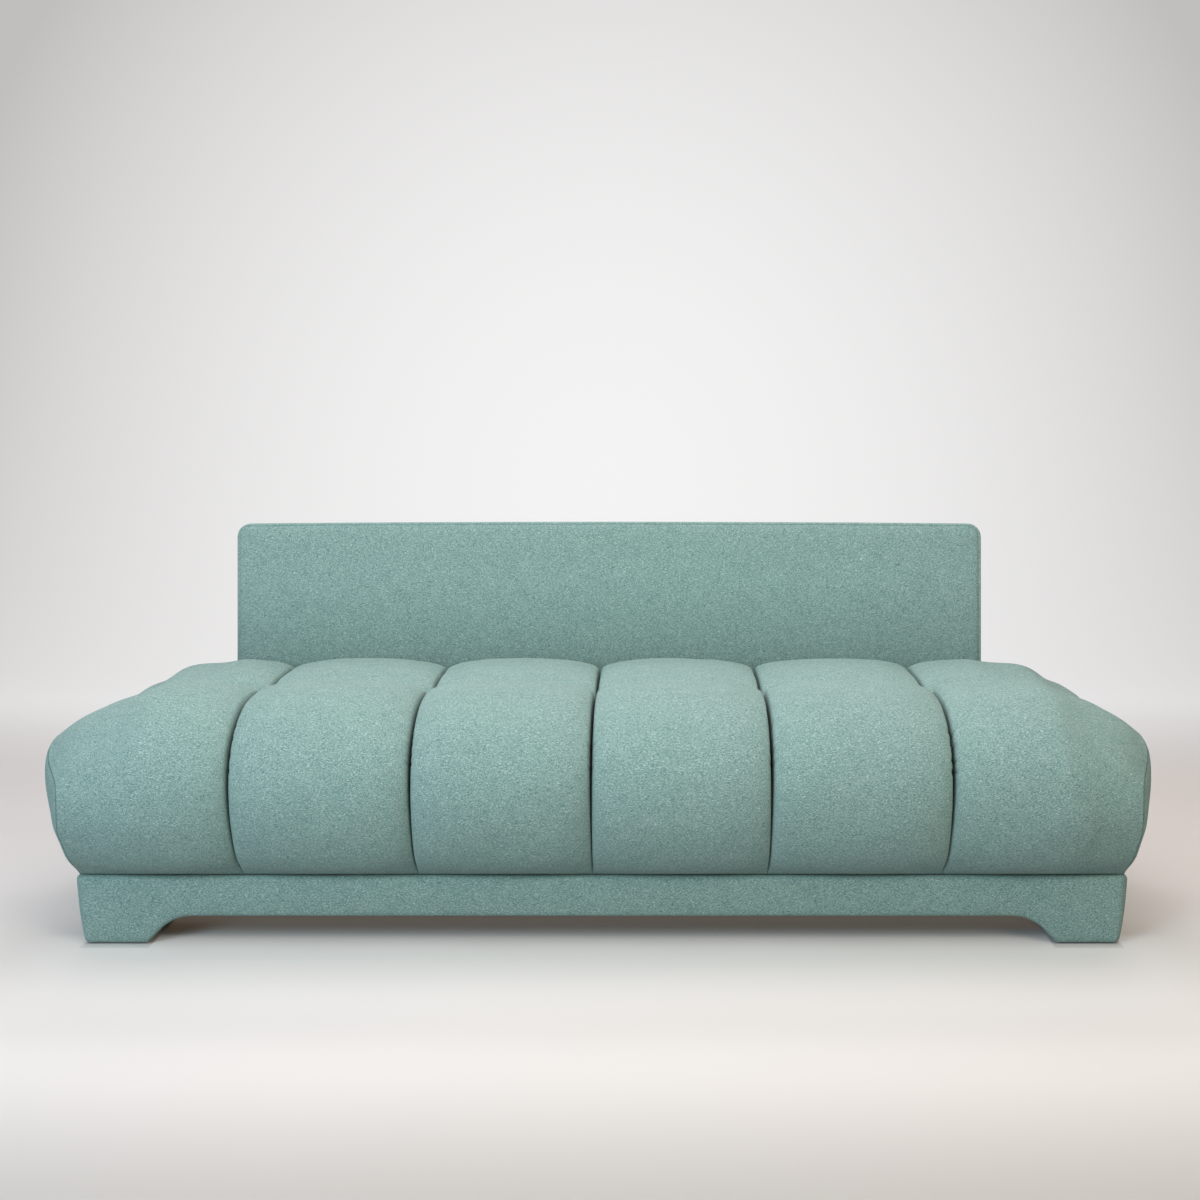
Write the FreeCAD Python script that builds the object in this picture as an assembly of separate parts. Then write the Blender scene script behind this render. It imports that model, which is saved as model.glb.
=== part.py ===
"""An armless sofa bed: a six-channel upholstered seat on a low plinth with bracket feet, and a slab back
that folds down flat behind the seat on two ratchet hinges.

The frame is right-handed, in millimetres: X runs along the sofa, Y from the front to the back, Z up. The
origin lies on the floor, in the middle of the box that the whole sofa fills. Each piece is written to its
own file in parts/, named as a workshop would name it.

The back is drawn upright about its hinge axis and then leaned back by the recline angle. Across the slab,
depth is counted from its front face and height from its bottom edge.
"""

import FreeCAD
import Part
import math
import os

V = FreeCAD.Vector

# Overall
overall_depth = 925.0          # front of the pillows to the back of the leg frame's shoes
plinth_width = 2000.0          # along X, at the top of the plinth
plinth_height = 137.0          # floor to the top of the plinth, where the seat starts
channel_count = 6              # sewn channels along the seat

# Seat upholstery
valley_height = 456.0          # floor to the sewn seams between two channels
valley_overhang = 97.0         # how far the seams bulge out in front of the plinth
crown_rise = 41.0              # how far a channel's crown stands out from its seams
crown_power = 2.4              # roundness of a channel across its width
outline_facets = 8             # flats along the outlines of the seat's ends
soft_gap = 0.3                 # free space beside soft pieces
side_bulge = 36.0              # how far the seat's ends bulge beyond the plinth
side_seam_inset = 12.0         # from the end's widest point in to its top seam
wall_thickness = 35.0          # padding in front of and beside the seat frame
core_height = 212.0            # plinth top to the top of the foam core
core_radius = 30.0             # rounded top front edge of the foam core

# Seat frame
board = 22.0                   # thickness of every board in the plinth and the seat
seat_rail_height = 110.0       # front and side rails
cross_rail_drop = 12.0         # cross rails stay this far under the webbing
cross_rail_count = 3
batten_height = 30.0           # ledger strip on the rear rail that takes the webbing
strap_width = 70.0
strap_thickness = 1.5
strap_count = 12               # straps from front to back
long_strap_count = 3           # straps along the seat
strap_end_margin = 60.0        # from the frame's end to the first strap's edge
strap_set_back = 4.0           # strap ends stop short of the frame's outer face
rear_cover_thickness = 3.0     # fabric on hardboard behind the seat
rear_cover_margin = 3.0        # bare strip round that panel
rear_cover_clearance = 2.0     # round the hinge flanges, where the panel is notched

# Plinth
glide_height = 3.0
glide_side = 32.0              # the glides are square
glide_taper = 1.5              # they are this much smaller all round at the floor
glide_inset = 26.0             # from the foot's outer faces to the glide's centre
foot_width = 128.0             # from the wall's end to the inner side of a foot
foot_chamfer = 20.0            # the sloping cut beside a foot
arch_run = 70.0                # length of the curve from that cut up to the apron
apron_clearance = 59.0         # floor to the underside of the apron
plinth_draft = 14.0            # the walls lean in by this much towards the floor
plinth_corner_radius = 18.0
plinth_foot_round = 5.0        # the bottom edge is eased by this much
cover_pad = 20.0               # padding and fabric outside the plinth rails
cover_lip = 3.0                # fabric turned under the rails
plinth_cross_count = 3
corner_block_leg = 62.0
corner_block_height = 60.0
dust_cover_thickness = 1.0

# Bolts between plinth and seat
frame_bolt_radius = 4.0
frame_bolt_head_width = 13.0   # across the flats
frame_bolt_head = 5.0
frame_bolt_grip = 55.0         # length of shank in the seat's side rail
bolt_clearance = 0.1

# Back slab
recline_angle = 6.0            # degrees from upright at rest
back_channel_count = 5         # the slab is as long as this many channels
slab_height = 356.0
slab_thickness = 120.0
slab_corner_radius = 33.0
slab_edge_radius = 13.0
cover_thickness = 5.0          # felt on fleece
back_fit = 0.2                 # slack between the back's cover and what fills it
back_foam = 32.0               # slab's front face to the back frame
back_board = 20.0              # thickness of the boards in the back
back_panel = 3.0               # hardboard behind the back frame
back_wadding = 13.0            # padding between that panel and the rear cover
back_frame_inset = 15.0        # the back frame stands this far inside the slab's edges
back_strap_width = 60.0
back_strap_count = 8
back_strap_margin = 60.0       # from the frame's end to the first strap's edge
back_post_share = 0.69         # outer middle posts, in half slab lengths

# Hinge
pivot_height = 426.0           # floor to the hinge axis
pivot_depth = 36.0             # slab's front face to the hinge axis
pivot_rise = 14.0              # slab's bottom edge to the hinge axis
pivot_gap = 46.0               # seat's rear end to the hinge axis
plate = 4.0                    # thickness of the hinge's steel
eye_radius = 24.0              # round head of both hinge plates
ratchet_thickness = 6.0
ratchet_root_radius = 19.0
ratchet_tip_radius = 23.0
ratchet_teeth = 16
pin_radius = 6.0
pin_head_radius = 11.0
pin_head = 4.0
running_clearance = 0.08       # round the hinge pins
side_gap = 0.3                 # between parts that turn past each other
flange_width = 60.0
flange_height = 110.0
flange_drop = 8.0              # flange top under the rear rail's top
web_depth = 27.0               # depth of the fixed plate's upright part
neck_drop = 28.0               # hinge axis down to where the neck starts
bend_radius = 4.0
arm_tab_depth = 30.0
arm_reach = 82.0               # hinge axis to the far end of the arm's tab
arm_tab_round = 8.0
slot_margin = 6.0              # room round the eye inside the slab
slot_side_margin = 2.0         # room beside the pin's head inside the slab
screw_radius = 3.0
screw_head_width = 10.0        # across the flats of the hexagon heads
screw_head = 2.6
screw_length = 18.0
arm_screw_reach = 42.0         # hinge axis to the first of the arm's screws
arm_screw_spacing = 26.0
flange_screw_margin = 14.0
pawl_box_width = 20.0
pawl_box_height = 34.0
pawl_box_gap = 1.5             # between the pawl box and the ratchet's tips
pawl_box_chamfer = 4.0

# Swinging leg frame behind the back
leg_rise = 258.0               # hinge axis to the leg axis, up the slab
leg_stand_off = 20.0           # slab's rear face to the leg axis
leg_tube = 22.0                # side of the square tube
leg_tube_wall = 1.5
leg_pad_round = 3.0
leg_top = 12.0                 # tube above the leg axis
leg_bend_radius = 55.0
leg_floor_gap = 0.5            # under the pads when the bed is flat
leg_pin_radius = 4.0
leg_pin_head_radius = 7.0
leg_pin_head = 2.5
leg_ear = 3.0
leg_ear_radius = 12.0
leg_bracket_height = 64.0
leg_bracket_flange = 16.0
leg_bracket_screw_length = 34.0
leg_pad_wall = 3.0
leg_pad_length = 46.0
leg_pad_inset = 90.0           # from the leg's centre line to the pad's near end

overrun = 20.0                 # how far a cutting tool reaches past what it cuts

# Derived places
half_width = plinth_width / 2
channel = plinth_width / channel_count
lean = math.radians(recline_angle)
leg_back = slab_thickness - pivot_depth + leg_stand_off
leg_drop = pivot_height - leg_back - leg_floor_gap
rear_reach = leg_rise * math.sin(lean) + leg_back * math.cos(lean) + leg_tube / 2 + leg_pad_wall
front_y = -overall_depth / 2
hinge_y = overall_depth / 2 - rear_reach
seat_rear_y = hinge_y - pivot_gap
plinth_front_y = front_y + valley_overhang + crown_rise
plinth_mid_y = (plinth_front_y + seat_rear_y) / 2
seat_depth = seat_rear_y - plinth_front_y
valley_span = valley_height - plinth_height
core_top = plinth_height + core_height
frame_half_width = half_width - wall_thickness
frame_front_y = plinth_front_y + wall_thickness
rail_top = plinth_height + seat_rail_height
inner_x = half_width - cover_pad - board
inner_front_y = plinth_front_y + cover_pad + board
inner_rear_y = seat_rear_y - cover_pad - board
apron_low = apron_clearance + cover_lip
half_slab = channel * back_channel_count / 2
back_frame_half = half_slab - back_frame_inset
back_frame_low = back_frame_inset
back_frame_high = slab_height - back_frame_inset
back_frame_rear = slab_thickness - cover_thickness - back_wadding - back_panel
post_x = back_post_share * half_slab
arm_x = post_x + back_board / 2
web_x = arm_x + plate + side_gap
ratchet_x = web_x + plate + side_gap
pin_head_x = ratchet_x + ratchet_thickness
hinge_outer_x = pin_head_x + pin_head
flange_high = core_top - flange_drop
flange_low = flange_high - flange_height

# The seam's side profile from the plinth's edge over the front to the back. Each row gives shares of the
# overhang, of the seat's depth and of the height above the plinth, and then of the crown.
profile_shares = (
    (0.00, 0.00, 0.000, 0.00),
    (0.40, 0.00, 0.150, 0.55),
    (0.76, 0.00, 0.340, 0.95),
    (1.00, 0.00, 0.640, 1.00),
    (0.84, 0.00, 0.840, 1.00),
    (0.42, 0.00, 0.940, 1.00),
    (0.00, 0.08, 0.975, 1.00),
    (0.00, 0.27, 1.000, 0.82),
    (0.00, 0.40, 0.965, 0.60),
    (0.00, 0.53, 0.985, 0.70),
    (0.00, 0.75, 0.995, 0.77),
    (0.00, 0.93, 0.975, 0.62),
    (0.00, 1.00, 0.940, 0.42),
)
crown_station_shares = (1.0, 0.93, 0.8, 0.6, 0.3, 0.0)
# Outer half of an end channel. Each row gives shares of its length, of the crown, and of how far the
# shoulder drops there, counted in crowns.
end_station_shares = (
    (0.28, 0.97, 0.26),
    (0.52, 0.88, 0.74),
    (0.74, 0.68, 1.20),
    (0.90, 0.44, 1.55),
    (1.00, 0.24, 1.80),
)
# Side outline of the seat's ends: shares of the bulge and of the height above the plinth.
side_shares = ((0.00, 0.00), (0.14, 0.20), (0.58, 0.45), (0.96, 0.70), (0.94, 0.86))
# Plan outline of the seat's ends: shares of the bulge, of the overhang and of the seat's depth.
plan_shares = (
    (-0.20, 1.50, 0.00),
    (0.33, 0.95, 0.00),
    (0.80, 0.25, 0.00),
    (0.97, 0.00, 0.12),
    (0.92, 0.00, 1.05),
)


def box(x0, x1, y0, y1, z0, z1):
    return Part.makeBox(x1 - x0, y1 - y0, z1 - z0, V(x0, y0, z0))


def rod(radius, start, end):
    """A round bar between two points."""
    axis = end.sub(start)
    return Part.makeCylinder(radius, axis.Length, start, axis)


def line(start, end):
    return Part.LineSegment(start, end).toShape()


def arc(start, middle, end):
    return Part.Arc(start, middle, end).toShape()


def face_of(edges):
    return Part.Face(Part.Wire(edges))


def bolt_head(width, height, centre, axis):
    """A hexagon head. axis points from the seat of the head to its top."""
    radius = width / math.sqrt(3)
    across = V(0, 0, 1) if axis.z == 0 else V(1, 0, 0)
    side = axis.cross(across)
    turns = [math.radians(60 * i) for i in range(6)]
    ring = [centre + across * (radius * math.cos(t)) + side * (radius * math.sin(t)) for t in turns]
    return polygon(ring).extrude(axis * height)


def polygon(points):
    return Part.Face(Part.makePolygon(list(points) + [points[0]]))


def mirrored(shape):
    """The same piece at the other end of the sofa."""
    return shape.mirror(V(0, 0, 0), V(1, 0, 0))


def spread(count, half_span):
    """Evenly spaced places from one end of a span to the other."""
    return [half_span * (2 * i / (count - 1) - 1) for i in range(count)]


def between(count, half_span):
    """Evenly spaced places inside a span, none at its ends."""
    return spread(count + 2, half_span)[1:-1]


def group(shapes):
    return Part.makeCompound(list(shapes))


def slab_y(depth):
    return hinge_y + depth - pivot_depth


def slab_z(height):
    return pivot_height + height - pivot_rise


def leaned(shape):
    """Turns a piece of the back from upright to its rest angle."""
    turned = shape.copy()
    turned.rotate(V(0, hinge_y, pivot_height), V(1, 0, 0), -recline_angle)
    return turned


# Plinth


def arch_cut(half_length, lip, along_x):
    """The space between two bracket feet, as a bar through the whole plinth. lip moves it into the wood."""
    foot = half_length - foot_width + lip
    slope = foot - foot_chamfer
    crest = slope - arch_run
    low = glide_height + lip
    mid = low + foot_chamfer
    top = apron_clearance + lip
    rise = top - mid
    arc_radius = (arch_run ** 2 + rise ** 2) / (2 * rise)
    half_turn = math.asin(arch_run / arc_radius) / 2
    bow_u = crest + arc_radius * math.sin(half_turn)
    bow_z = top - arc_radius * (1 - math.cos(half_turn))
    reach = half_width + overall_depth

    def at(u, z):
        return V(u, -reach, z) if along_x else V(-reach, u, z)

    edges = [
        line(at(-foot, -overrun), at(-foot, low)),
        line(at(-foot, low), at(-slope, mid)),
        arc(at(-slope, mid), at(-bow_u, bow_z), at(-crest, top)),
        line(at(-crest, top), at(crest, top)),
        arc(at(crest, top), at(bow_u, bow_z), at(slope, mid)),
        line(at(slope, mid), at(foot, low)),
        line(at(foot, low), at(foot, -overrun)),
        line(at(foot, -overrun), at(-foot, -overrun)),
    ]
    away = V(0, 2 * reach, 0) if along_x else V(2 * reach, 0, 0)
    return face_of(edges).extrude(away)


def both_arches(lip):
    """The cuts that leave four feet."""
    side = arch_cut(seat_depth / 2, lip, False)
    side.translate(V(0, plinth_mid_y, 0))
    return arch_cut(half_width, lip, True).fuse(side)


def plinth_outline(inset, z):
    """A wire round the plinth at one height, with round corners."""
    flat = Part.makePlane(2 * (half_width - inset), seat_depth - 2 * inset,
                          V(inset - half_width, plinth_front_y + inset, z))
    upright = flat.extrude(V(0, 0, overrun))
    corners = [e for e in upright.Edges if e.Vertexes[0].Z != e.Vertexes[1].Z]
    rounded = upright.makeFillet(plinth_corner_radius, corners)
    lowest = min(rounded.Faces, key=lambda f: f.CenterOfMass.z)
    return lowest.OuterWire


def plinth_block():
    """The plinth's outer form: walls that lean in towards the floor and an eased bottom edge."""
    eased = glide_height + plinth_foot_round
    inset = plinth_draft * (plinth_height - eased) / plinth_height
    bottom = plinth_outline(inset + plinth_foot_round, glide_height)
    edge = plinth_outline(inset, eased)
    top = plinth_outline(0, plinth_height)
    lower = Part.makeLoft([bottom, edge], True, True)
    upper = Part.makeLoft([edge, top], True, True)
    return lower.fuse(upper).removeSplitter()


def plinth_rails():
    """Four boards on edge with bracket feet sawn out of them."""
    x1 = half_width - cover_pad
    y0 = plinth_front_y + cover_pad
    y1 = seat_rear_y - cover_pad
    low = glide_height + cover_lip
    arches = both_arches(cover_lip)
    whole = {
        "plinth_front_rail": box(-x1, x1, y0, inner_front_y, low, plinth_height),
        "plinth_rear_rail": box(-x1, x1, inner_rear_y, y1, low, plinth_height),
        "plinth_side_rail_left": box(-x1, -inner_x, inner_front_y, inner_rear_y, low, plinth_height),
        "plinth_side_rail_right": box(inner_x, x1, inner_front_y, inner_rear_y, low, plinth_height),
    }
    return {name: rail.cut(arches) for name, rail in whole.items()}


def plinth_cover(rails):
    """Padded fabric wrapped round the rails and turned under them."""
    hollow = box(-inner_x, inner_x, inner_front_y, inner_rear_y, -overrun, plinth_height + overrun)
    cover = plinth_block().cut(both_arches(0)).cut(hollow)
    for rail in rails.values():
        cover = cover.cut(rail)
    return cover


def plinth_cross_rails():
    return group(box(p - board / 2, p + board / 2, inner_front_y, inner_rear_y, apron_low, plinth_height)
                 for p in between(plinth_cross_count, half_width))


def bolt_places():
    """Four frame bolts, each through a corner block and up into a side rail of the seat."""
    x = inner_x - frame_bolt_head_width / math.sqrt(3) - side_gap
    y0 = frame_front_y + board + frame_bolt_head_width / 2
    y1 = inner_rear_y + inner_front_y - y0
    return [(sx * x, y) for sx in (-1, 1) for y in (y0, y1)]


def corner_blocks():
    """Three-cornered glue blocks in the plinth's corners, drilled for the frame bolts."""
    z0 = plinth_height - corner_block_height
    holes = group(rod(frame_bolt_radius + bolt_clearance, V(px, py, 0), V(px, py, plinth_height))
                  for px, py in bolt_places())
    blocks = []
    for sx in (-1, 1):
        for y, sy in ((inner_front_y, 1), (inner_rear_y, -1)):
            corner = V(sx * inner_x, y, z0)
            along = V(-sx * corner_block_leg, 0, 0)
            inward = V(0, sy * corner_block_leg, 0)
            block = polygon([corner, corner + along, corner + inward]).extrude(V(0, 0, corner_block_height))
            blocks.append(block.cut(holes))
    return group(blocks)


def frame_bolts():
    z0 = plinth_height - corner_block_height
    bolts = []
    for px, py in bolt_places():
        shank = rod(frame_bolt_radius, V(px, py, z0), V(px, py, plinth_height + frame_bolt_grip))
        head = bolt_head(frame_bolt_head_width, frame_bolt_head, V(px, py, z0), V(0, 0, -1))
        bolts.append(shank.fuse(head))
    return group(bolts)


def glides():
    """Square plastic glides nailed under the four feet."""
    inset = plinth_draft + glide_inset
    made = {}
    for side, x in (("left", inset - half_width), ("right", half_width - inset)):
        for end, y in (("front", plinth_front_y + inset), ("rear", seat_rear_y - inset)):
            block = box(x - glide_side / 2, x + glide_side / 2, y - glide_side / 2, y + glide_side / 2,
                        0, glide_height)
            rim = [e for e in block.Edges if e.CenterOfMass.z == 0]
            made["floor_glide_" + end + "_" + side] = block.makeChamfer(glide_taper, rim)
    return made


def dust_cover():
    """Cloth stapled up against the cross rails, inside the plinth's walls."""
    return box(soft_gap - inner_x, inner_x - soft_gap, inner_front_y + soft_gap, inner_rear_y - soft_gap,
               apron_low - dust_cover_thickness, apron_low)


# Seat frame


def drilled(shape):
    """Cuts the frame bolts' holes."""
    holes = group(rod(frame_bolt_radius, V(px, py, 0), V(px, py, plinth_height + frame_bolt_grip))
                  for px, py in bolt_places())
    return shape.cut(holes)


def seat_rails():
    x = frame_half_width
    y0 = frame_front_y + board
    y1 = seat_rear_y - board
    return {
        "seat_front_rail": box(-x, x, frame_front_y, y0, plinth_height, rail_top),
        "seat_rear_rail": box(-x, x, y1, seat_rear_y, plinth_height, core_top - soft_gap),
        "seat_side_rail_left": drilled(box(-x, board - x, y0, y1, plinth_height, rail_top)),
        "seat_side_rail_right": drilled(box(x - board, x, y0, y1, plinth_height, rail_top)),
    }


def seat_batten():
    x = frame_half_width - board
    y1 = seat_rear_y - board
    return box(-x, x, y1 - board, y1, rail_top - batten_height, rail_top)


def seat_cross_rails(batten):
    top = rail_top - cross_rail_drop
    return group(box(p - board / 2, p + board / 2, frame_front_y + board, seat_rear_y - board,
                     plinth_height, top).cut(batten)
                 for p in between(cross_rail_count, frame_half_width))


def strap(x0, x1, y0, y1, z0):
    return box(x0, x1, y0, y1, z0, z0 + strap_thickness)


def seat_straps_across():
    """Elastic webbing from the front rail to the batten."""
    half = strap_width / 2
    first = frame_half_width - strap_end_margin - half
    return group(strap(p - half, p + half, frame_front_y + strap_set_back, seat_rear_y - board, rail_top)
                 for p in spread(strap_count, first))


def seat_straps_along():
    """Straps along the seat, laid over the others."""
    half = strap_width / 2
    x = frame_half_width - strap_set_back
    span = (seat_rear_y - board - frame_front_y) / 2
    middle = frame_front_y + span
    z = rail_top + strap_thickness
    return group(strap(-x, x, middle + p - half, middle + p + half, z)
                 for p in between(long_strap_count, span))


def core_form(slack, rear_y):
    """The space that the frame and foam fill, grown by slack on all sides but the rear."""
    x = frame_half_width + slack
    y0 = frame_front_y - slack
    top = core_top + slack
    block = box(-x, x, y0, rear_y, plinth_height - slack, top)
    edges = [e for e in block.Edges
             if all(abs(v.Z - top) < soft_gap and abs(v.Y - y0) < soft_gap for v in e.Vertexes)]
    return block.makeFillet(core_radius, edges)


def seat_foam():
    rear = seat_rear_y - board
    above = box(-half_width, half_width, front_y, rear, rail_top + 2 * strap_thickness, core_top + overrun)
    return core_form(0, rear).common(above)


def seat_rear_cover():
    """Fabric on hardboard behind the rear rail, notched from above round the hinge flanges."""
    x = frame_half_width - rear_cover_margin
    y1 = seat_rear_y + rear_cover_thickness
    panel = box(-x, x, seat_rear_y, y1, plinth_height + rear_cover_margin, core_top - rear_cover_margin)
    notch = box(web_x - rear_cover_clearance, web_x + flange_width + rear_cover_clearance,
                seat_rear_y, y1, flange_low - rear_cover_clearance, core_top)
    return panel.cut([notch, mirrored(notch)])


# Seat channels


def valley_points():
    points = []
    for forward, back, up, crown in profile_shares:
        y = plinth_front_y - forward * valley_overhang + back * seat_depth
        z = plinth_height + soft_gap + up * (valley_span - soft_gap)
        points.append(V(0, y, z))
    return points


def smooth_curve(points):
    curve = Part.BSplineCurve()
    curve.interpolate(points)
    return curve


def halved(points):
    """The points, and between every two the one that lies halfway along the smooth curve."""
    curve = smooth_curve(points)
    places = [curve.parameter(p) for p in points]
    made = [points[0]]
    for near, far, p in zip(places, places[1:], points[1:]):
        made += [curve.value((near + far) / 2), p]
    return made


def outward_normals(points):
    """Outward directions along the seam's profile, square to the smooth curve through its points."""
    curve = smooth_curve(points)
    tangents = [curve.tangent(curve.parameter(p))[0] for p in points]
    return [V(0, -tangent.z, tangent.y) for tangent in tangents]


def channel_section(x, crown, drop=0):
    """A closed outline across the seat at one place along it. crown and drop are counted in crown rises."""
    skin = []
    valley = valley_points()
    for p, n, row in zip(valley, outward_normals(valley), profile_shares):
        q = p + n * (crown * crown_rise * row[3])
        skin.append(V(x, min(q.y, seat_rear_y), q.z - drop * crown_rise * row[2] ** 2))
    skin[-1].y = seat_rear_y
    return Part.makePolygon(halved(skin) + [V(x, seat_rear_y, skin[0].z), skin[0]])


def crown_at(share):
    return (1 - share ** crown_power) ** (1 / crown_power)


def inner_stations(half):
    """Places and crowns from a channel's seam to its middle."""
    return [(-share * half, crown_at(share)) for share in crown_station_shares]


def middle_channel():
    """One stuffed channel between two seams, drawn about X = 0."""
    rising = inner_stations(channel / 2 - soft_gap)
    falling = [(-dx, crown) for dx, crown in reversed(rising[:-1])]
    return Part.makeLoft([channel_section(dx, crown) for dx, crown in rising + falling], True, True)


def side_outline():
    """Everything inside the bulging ends of the seat, as a bar along Y."""
    seam_x = half_width + side_bulge - side_seam_inset
    y = front_y - overrun
    points = [V(half_width + out * side_bulge, y, plinth_height + up * valley_span)
              for out, up in side_shares]
    outline = smooth_curve(points).discretize(Number=outline_facets + 1)
    top = valley_height + 2 * crown_rise
    outline += [V(seam_x, y, top), V(0, y, top), V(0, y, plinth_height)]
    return polygon(outline).extrude(V(0, overall_depth + 2 * overrun, 0))


def plan_outline():
    """Everything inside the rounded front corners of the seat's ends, as an upright bar."""
    points = [V(half_width + out * side_bulge,
                plinth_front_y - forward * valley_overhang + back * seat_depth, 0)
              for out, forward, back in plan_shares]
    outline = smooth_curve(points).discretize(Number=outline_facets + 1)
    outline += [V(0, points[-1].y, 0), V(0, points[0].y, 0)]
    return polygon(outline).extrude(V(0, 0, valley_height + 2 * crown_rise))


def end_channel():
    """The channel at the right-hand end. Its outer half falls away to the seam round the side panel."""
    centre = half_width - channel / 2
    outer = channel / 2 + side_bulge
    sections = [channel_section(centre + dx, crown) for dx, crown in inner_stations(channel / 2 - soft_gap)]
    sections += [channel_section(centre + share * outer, crown, drop)
                 for share, crown, drop in end_station_shares]
    return Part.makeLoft(sections, True, True).common(side_outline()).common(plan_outline())


def seat_channels():
    """All channels, hollowed underneath for the frame and the foam core."""
    rear = seat_rear_y + overrun
    x = frame_half_width + soft_gap
    mouth = box(-x, x, frame_front_y - soft_gap, rear, plinth_height - overrun, rail_top)
    cavity = core_form(soft_gap, rear).fuse(mouth)
    right = end_channel().cut(cavity)
    middle = middle_channel().cut(cavity)
    made = {"seat_channel_1": mirrored(right)}
    for i in range(2, channel_count):
        piece = middle.copy()
        piece.translate(V(channel * (i - (channel_count + 1) / 2), 0, 0))
        made["seat_channel_%d" % i] = piece
    made["seat_channel_%d" % channel_count] = right
    return made


# Back


def slab_box(x0, x1, depth0, depth1, low, high):
    """A box in the upright slab's own depth and height."""
    return box(x0, x1, slab_y(depth0), slab_y(depth1), slab_z(low), slab_z(high))


def slab_form(inset):
    """The slab's form with its four round corners, set in by the same amount on every side."""
    x = half_slab - inset
    block = slab_box(-x, x, inset, slab_thickness - inset, inset, slab_height - inset)
    corners = [e for e in block.Edges if e.Vertexes[0].Y != e.Vertexes[1].Y]
    return block.makeFillet(slab_corner_radius - inset, corners)


def rounded_slab():
    """The slab with its front and rear edges rounded as well."""
    block = slab_form(0)
    rims = [f for f in block.Faces if f.BoundBox.YLength < soft_gap]
    return block.makeFillet(slab_edge_radius, [e for f in rims for e in f.Edges])


def back_frame_box(depth0, depth1):
    return slab_box(-back_frame_half, back_frame_half, depth0, depth1, back_frame_low, back_frame_high)


def hinge_room(low, high):
    """Space inside the slab for both hinges, between two heights."""
    reach = eye_radius + slot_margin
    room = slab_box(arm_x, hinge_outer_x + slot_side_margin, pivot_depth - reach, pivot_depth + reach,
                    low, high)
    return group([room, mirrored(room)])


def back_rails():
    room = hinge_room(-overrun, pivot_rise + eye_radius + slot_margin)
    bottom = slab_box(-back_frame_half, back_frame_half, back_foam, back_frame_rear,
                      back_frame_low, back_frame_low + back_board)
    top = slab_box(-back_frame_half, back_frame_half, back_foam, back_frame_rear,
                   back_frame_high - back_board, back_frame_high)
    return bottom.cut(room), top


def back_post(x):
    return slab_box(x - back_board / 2, x + back_board / 2, back_foam, back_frame_rear,
                    back_frame_low + back_board, back_frame_high - back_board)


def back_straps():
    """Webbing up the front of the back frame, sunk into the foam."""
    half = back_strap_width / 2
    first = back_frame_half - back_strap_margin - half
    room = hinge_room(-overrun, pivot_rise + arm_reach)
    return group(slab_box(p - half, p + half, back_foam - strap_thickness, back_foam,
                          back_frame_low + back_board / 2, back_frame_high - back_board / 2).cut(room)
                 for p in spread(back_strap_count, first))


def back_fillings():
    """Front foam that also wraps the frame's edges, the rear panel, and the wadding behind it."""
    filling = slab_form(cover_thickness + back_fit)
    x = half_slab
    front = slab_box(-x, x, 0, back_frame_rear, 0, slab_height)
    frame = back_frame_box(back_foam, back_frame_rear + overrun)
    room = hinge_room(-overrun, pivot_rise + arm_reach)
    foam = filling.common(front).cut(frame).cut(back_straps()).cut(room)
    panel = back_frame_box(back_frame_rear, back_frame_rear + back_panel)
    wadding = filling.cut(front).cut(panel)
    return foam, panel, wadding


def back_cover():
    """The fabric cover, with two slots underneath where the hinges come out."""
    room = hinge_room(-overrun, cover_thickness + slab_edge_radius)
    return rounded_slab().cut(slab_form(cover_thickness)).cut(room)


# Hinges


def side_plate(x, thickness, edges):
    """A flat plate standing across the sofa, cut to an outline at X = 0."""
    face = face_of(edges)
    face.translate(V(x, 0, 0))
    return face.extrude(V(thickness, 0, 0))


def hinge_plate():
    """The fixed half: a flange on the seat's rear rail, bent into a web that carries the eye."""
    y0 = seat_rear_y
    z0 = flange_low
    z1 = flange_high
    y1 = y0 + web_depth
    neck_z = pivot_height - neck_drop
    drop = math.sqrt(eye_radius ** 2 - (hinge_y - y1) ** 2)
    turn = math.radians(45)
    edges = [
        line(V(0, y0, z0), V(0, y1, z0)),
        line(V(0, y1, z0), V(0, y1, pivot_height - drop)),
        arc(V(0, y1, pivot_height - drop), V(0, hinge_y + eye_radius * math.cos(turn),
            pivot_height + eye_radius * math.sin(turn)), V(0, hinge_y - eye_radius, pivot_height)),
        line(V(0, hinge_y - eye_radius, pivot_height), V(0, y0 + plate, neck_z)),
        line(V(0, y0 + plate, neck_z), V(0, y0, neck_z - plate)),
        line(V(0, y0, neck_z - plate), V(0, y0, z0)),
    ]
    web = side_plate(web_x, plate, edges)
    flange = box(web_x, web_x + flange_width, y0, y0 + plate, z0, z1)
    bend = [e for e in flange.Edges if abs(e.Length - plate) < running_clearance
            and all(abs(v.X - web_x - flange_width) < running_clearance for v in e.Vertexes)]
    body = web.fuse(flange.makeFillet(bend_radius, bend)).removeSplitter()
    bore = rod(pin_radius + running_clearance, V(arm_x, hinge_y, pivot_height),
               V(hinge_outer_x, hinge_y, pivot_height))
    return body.cut(bore)


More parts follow.
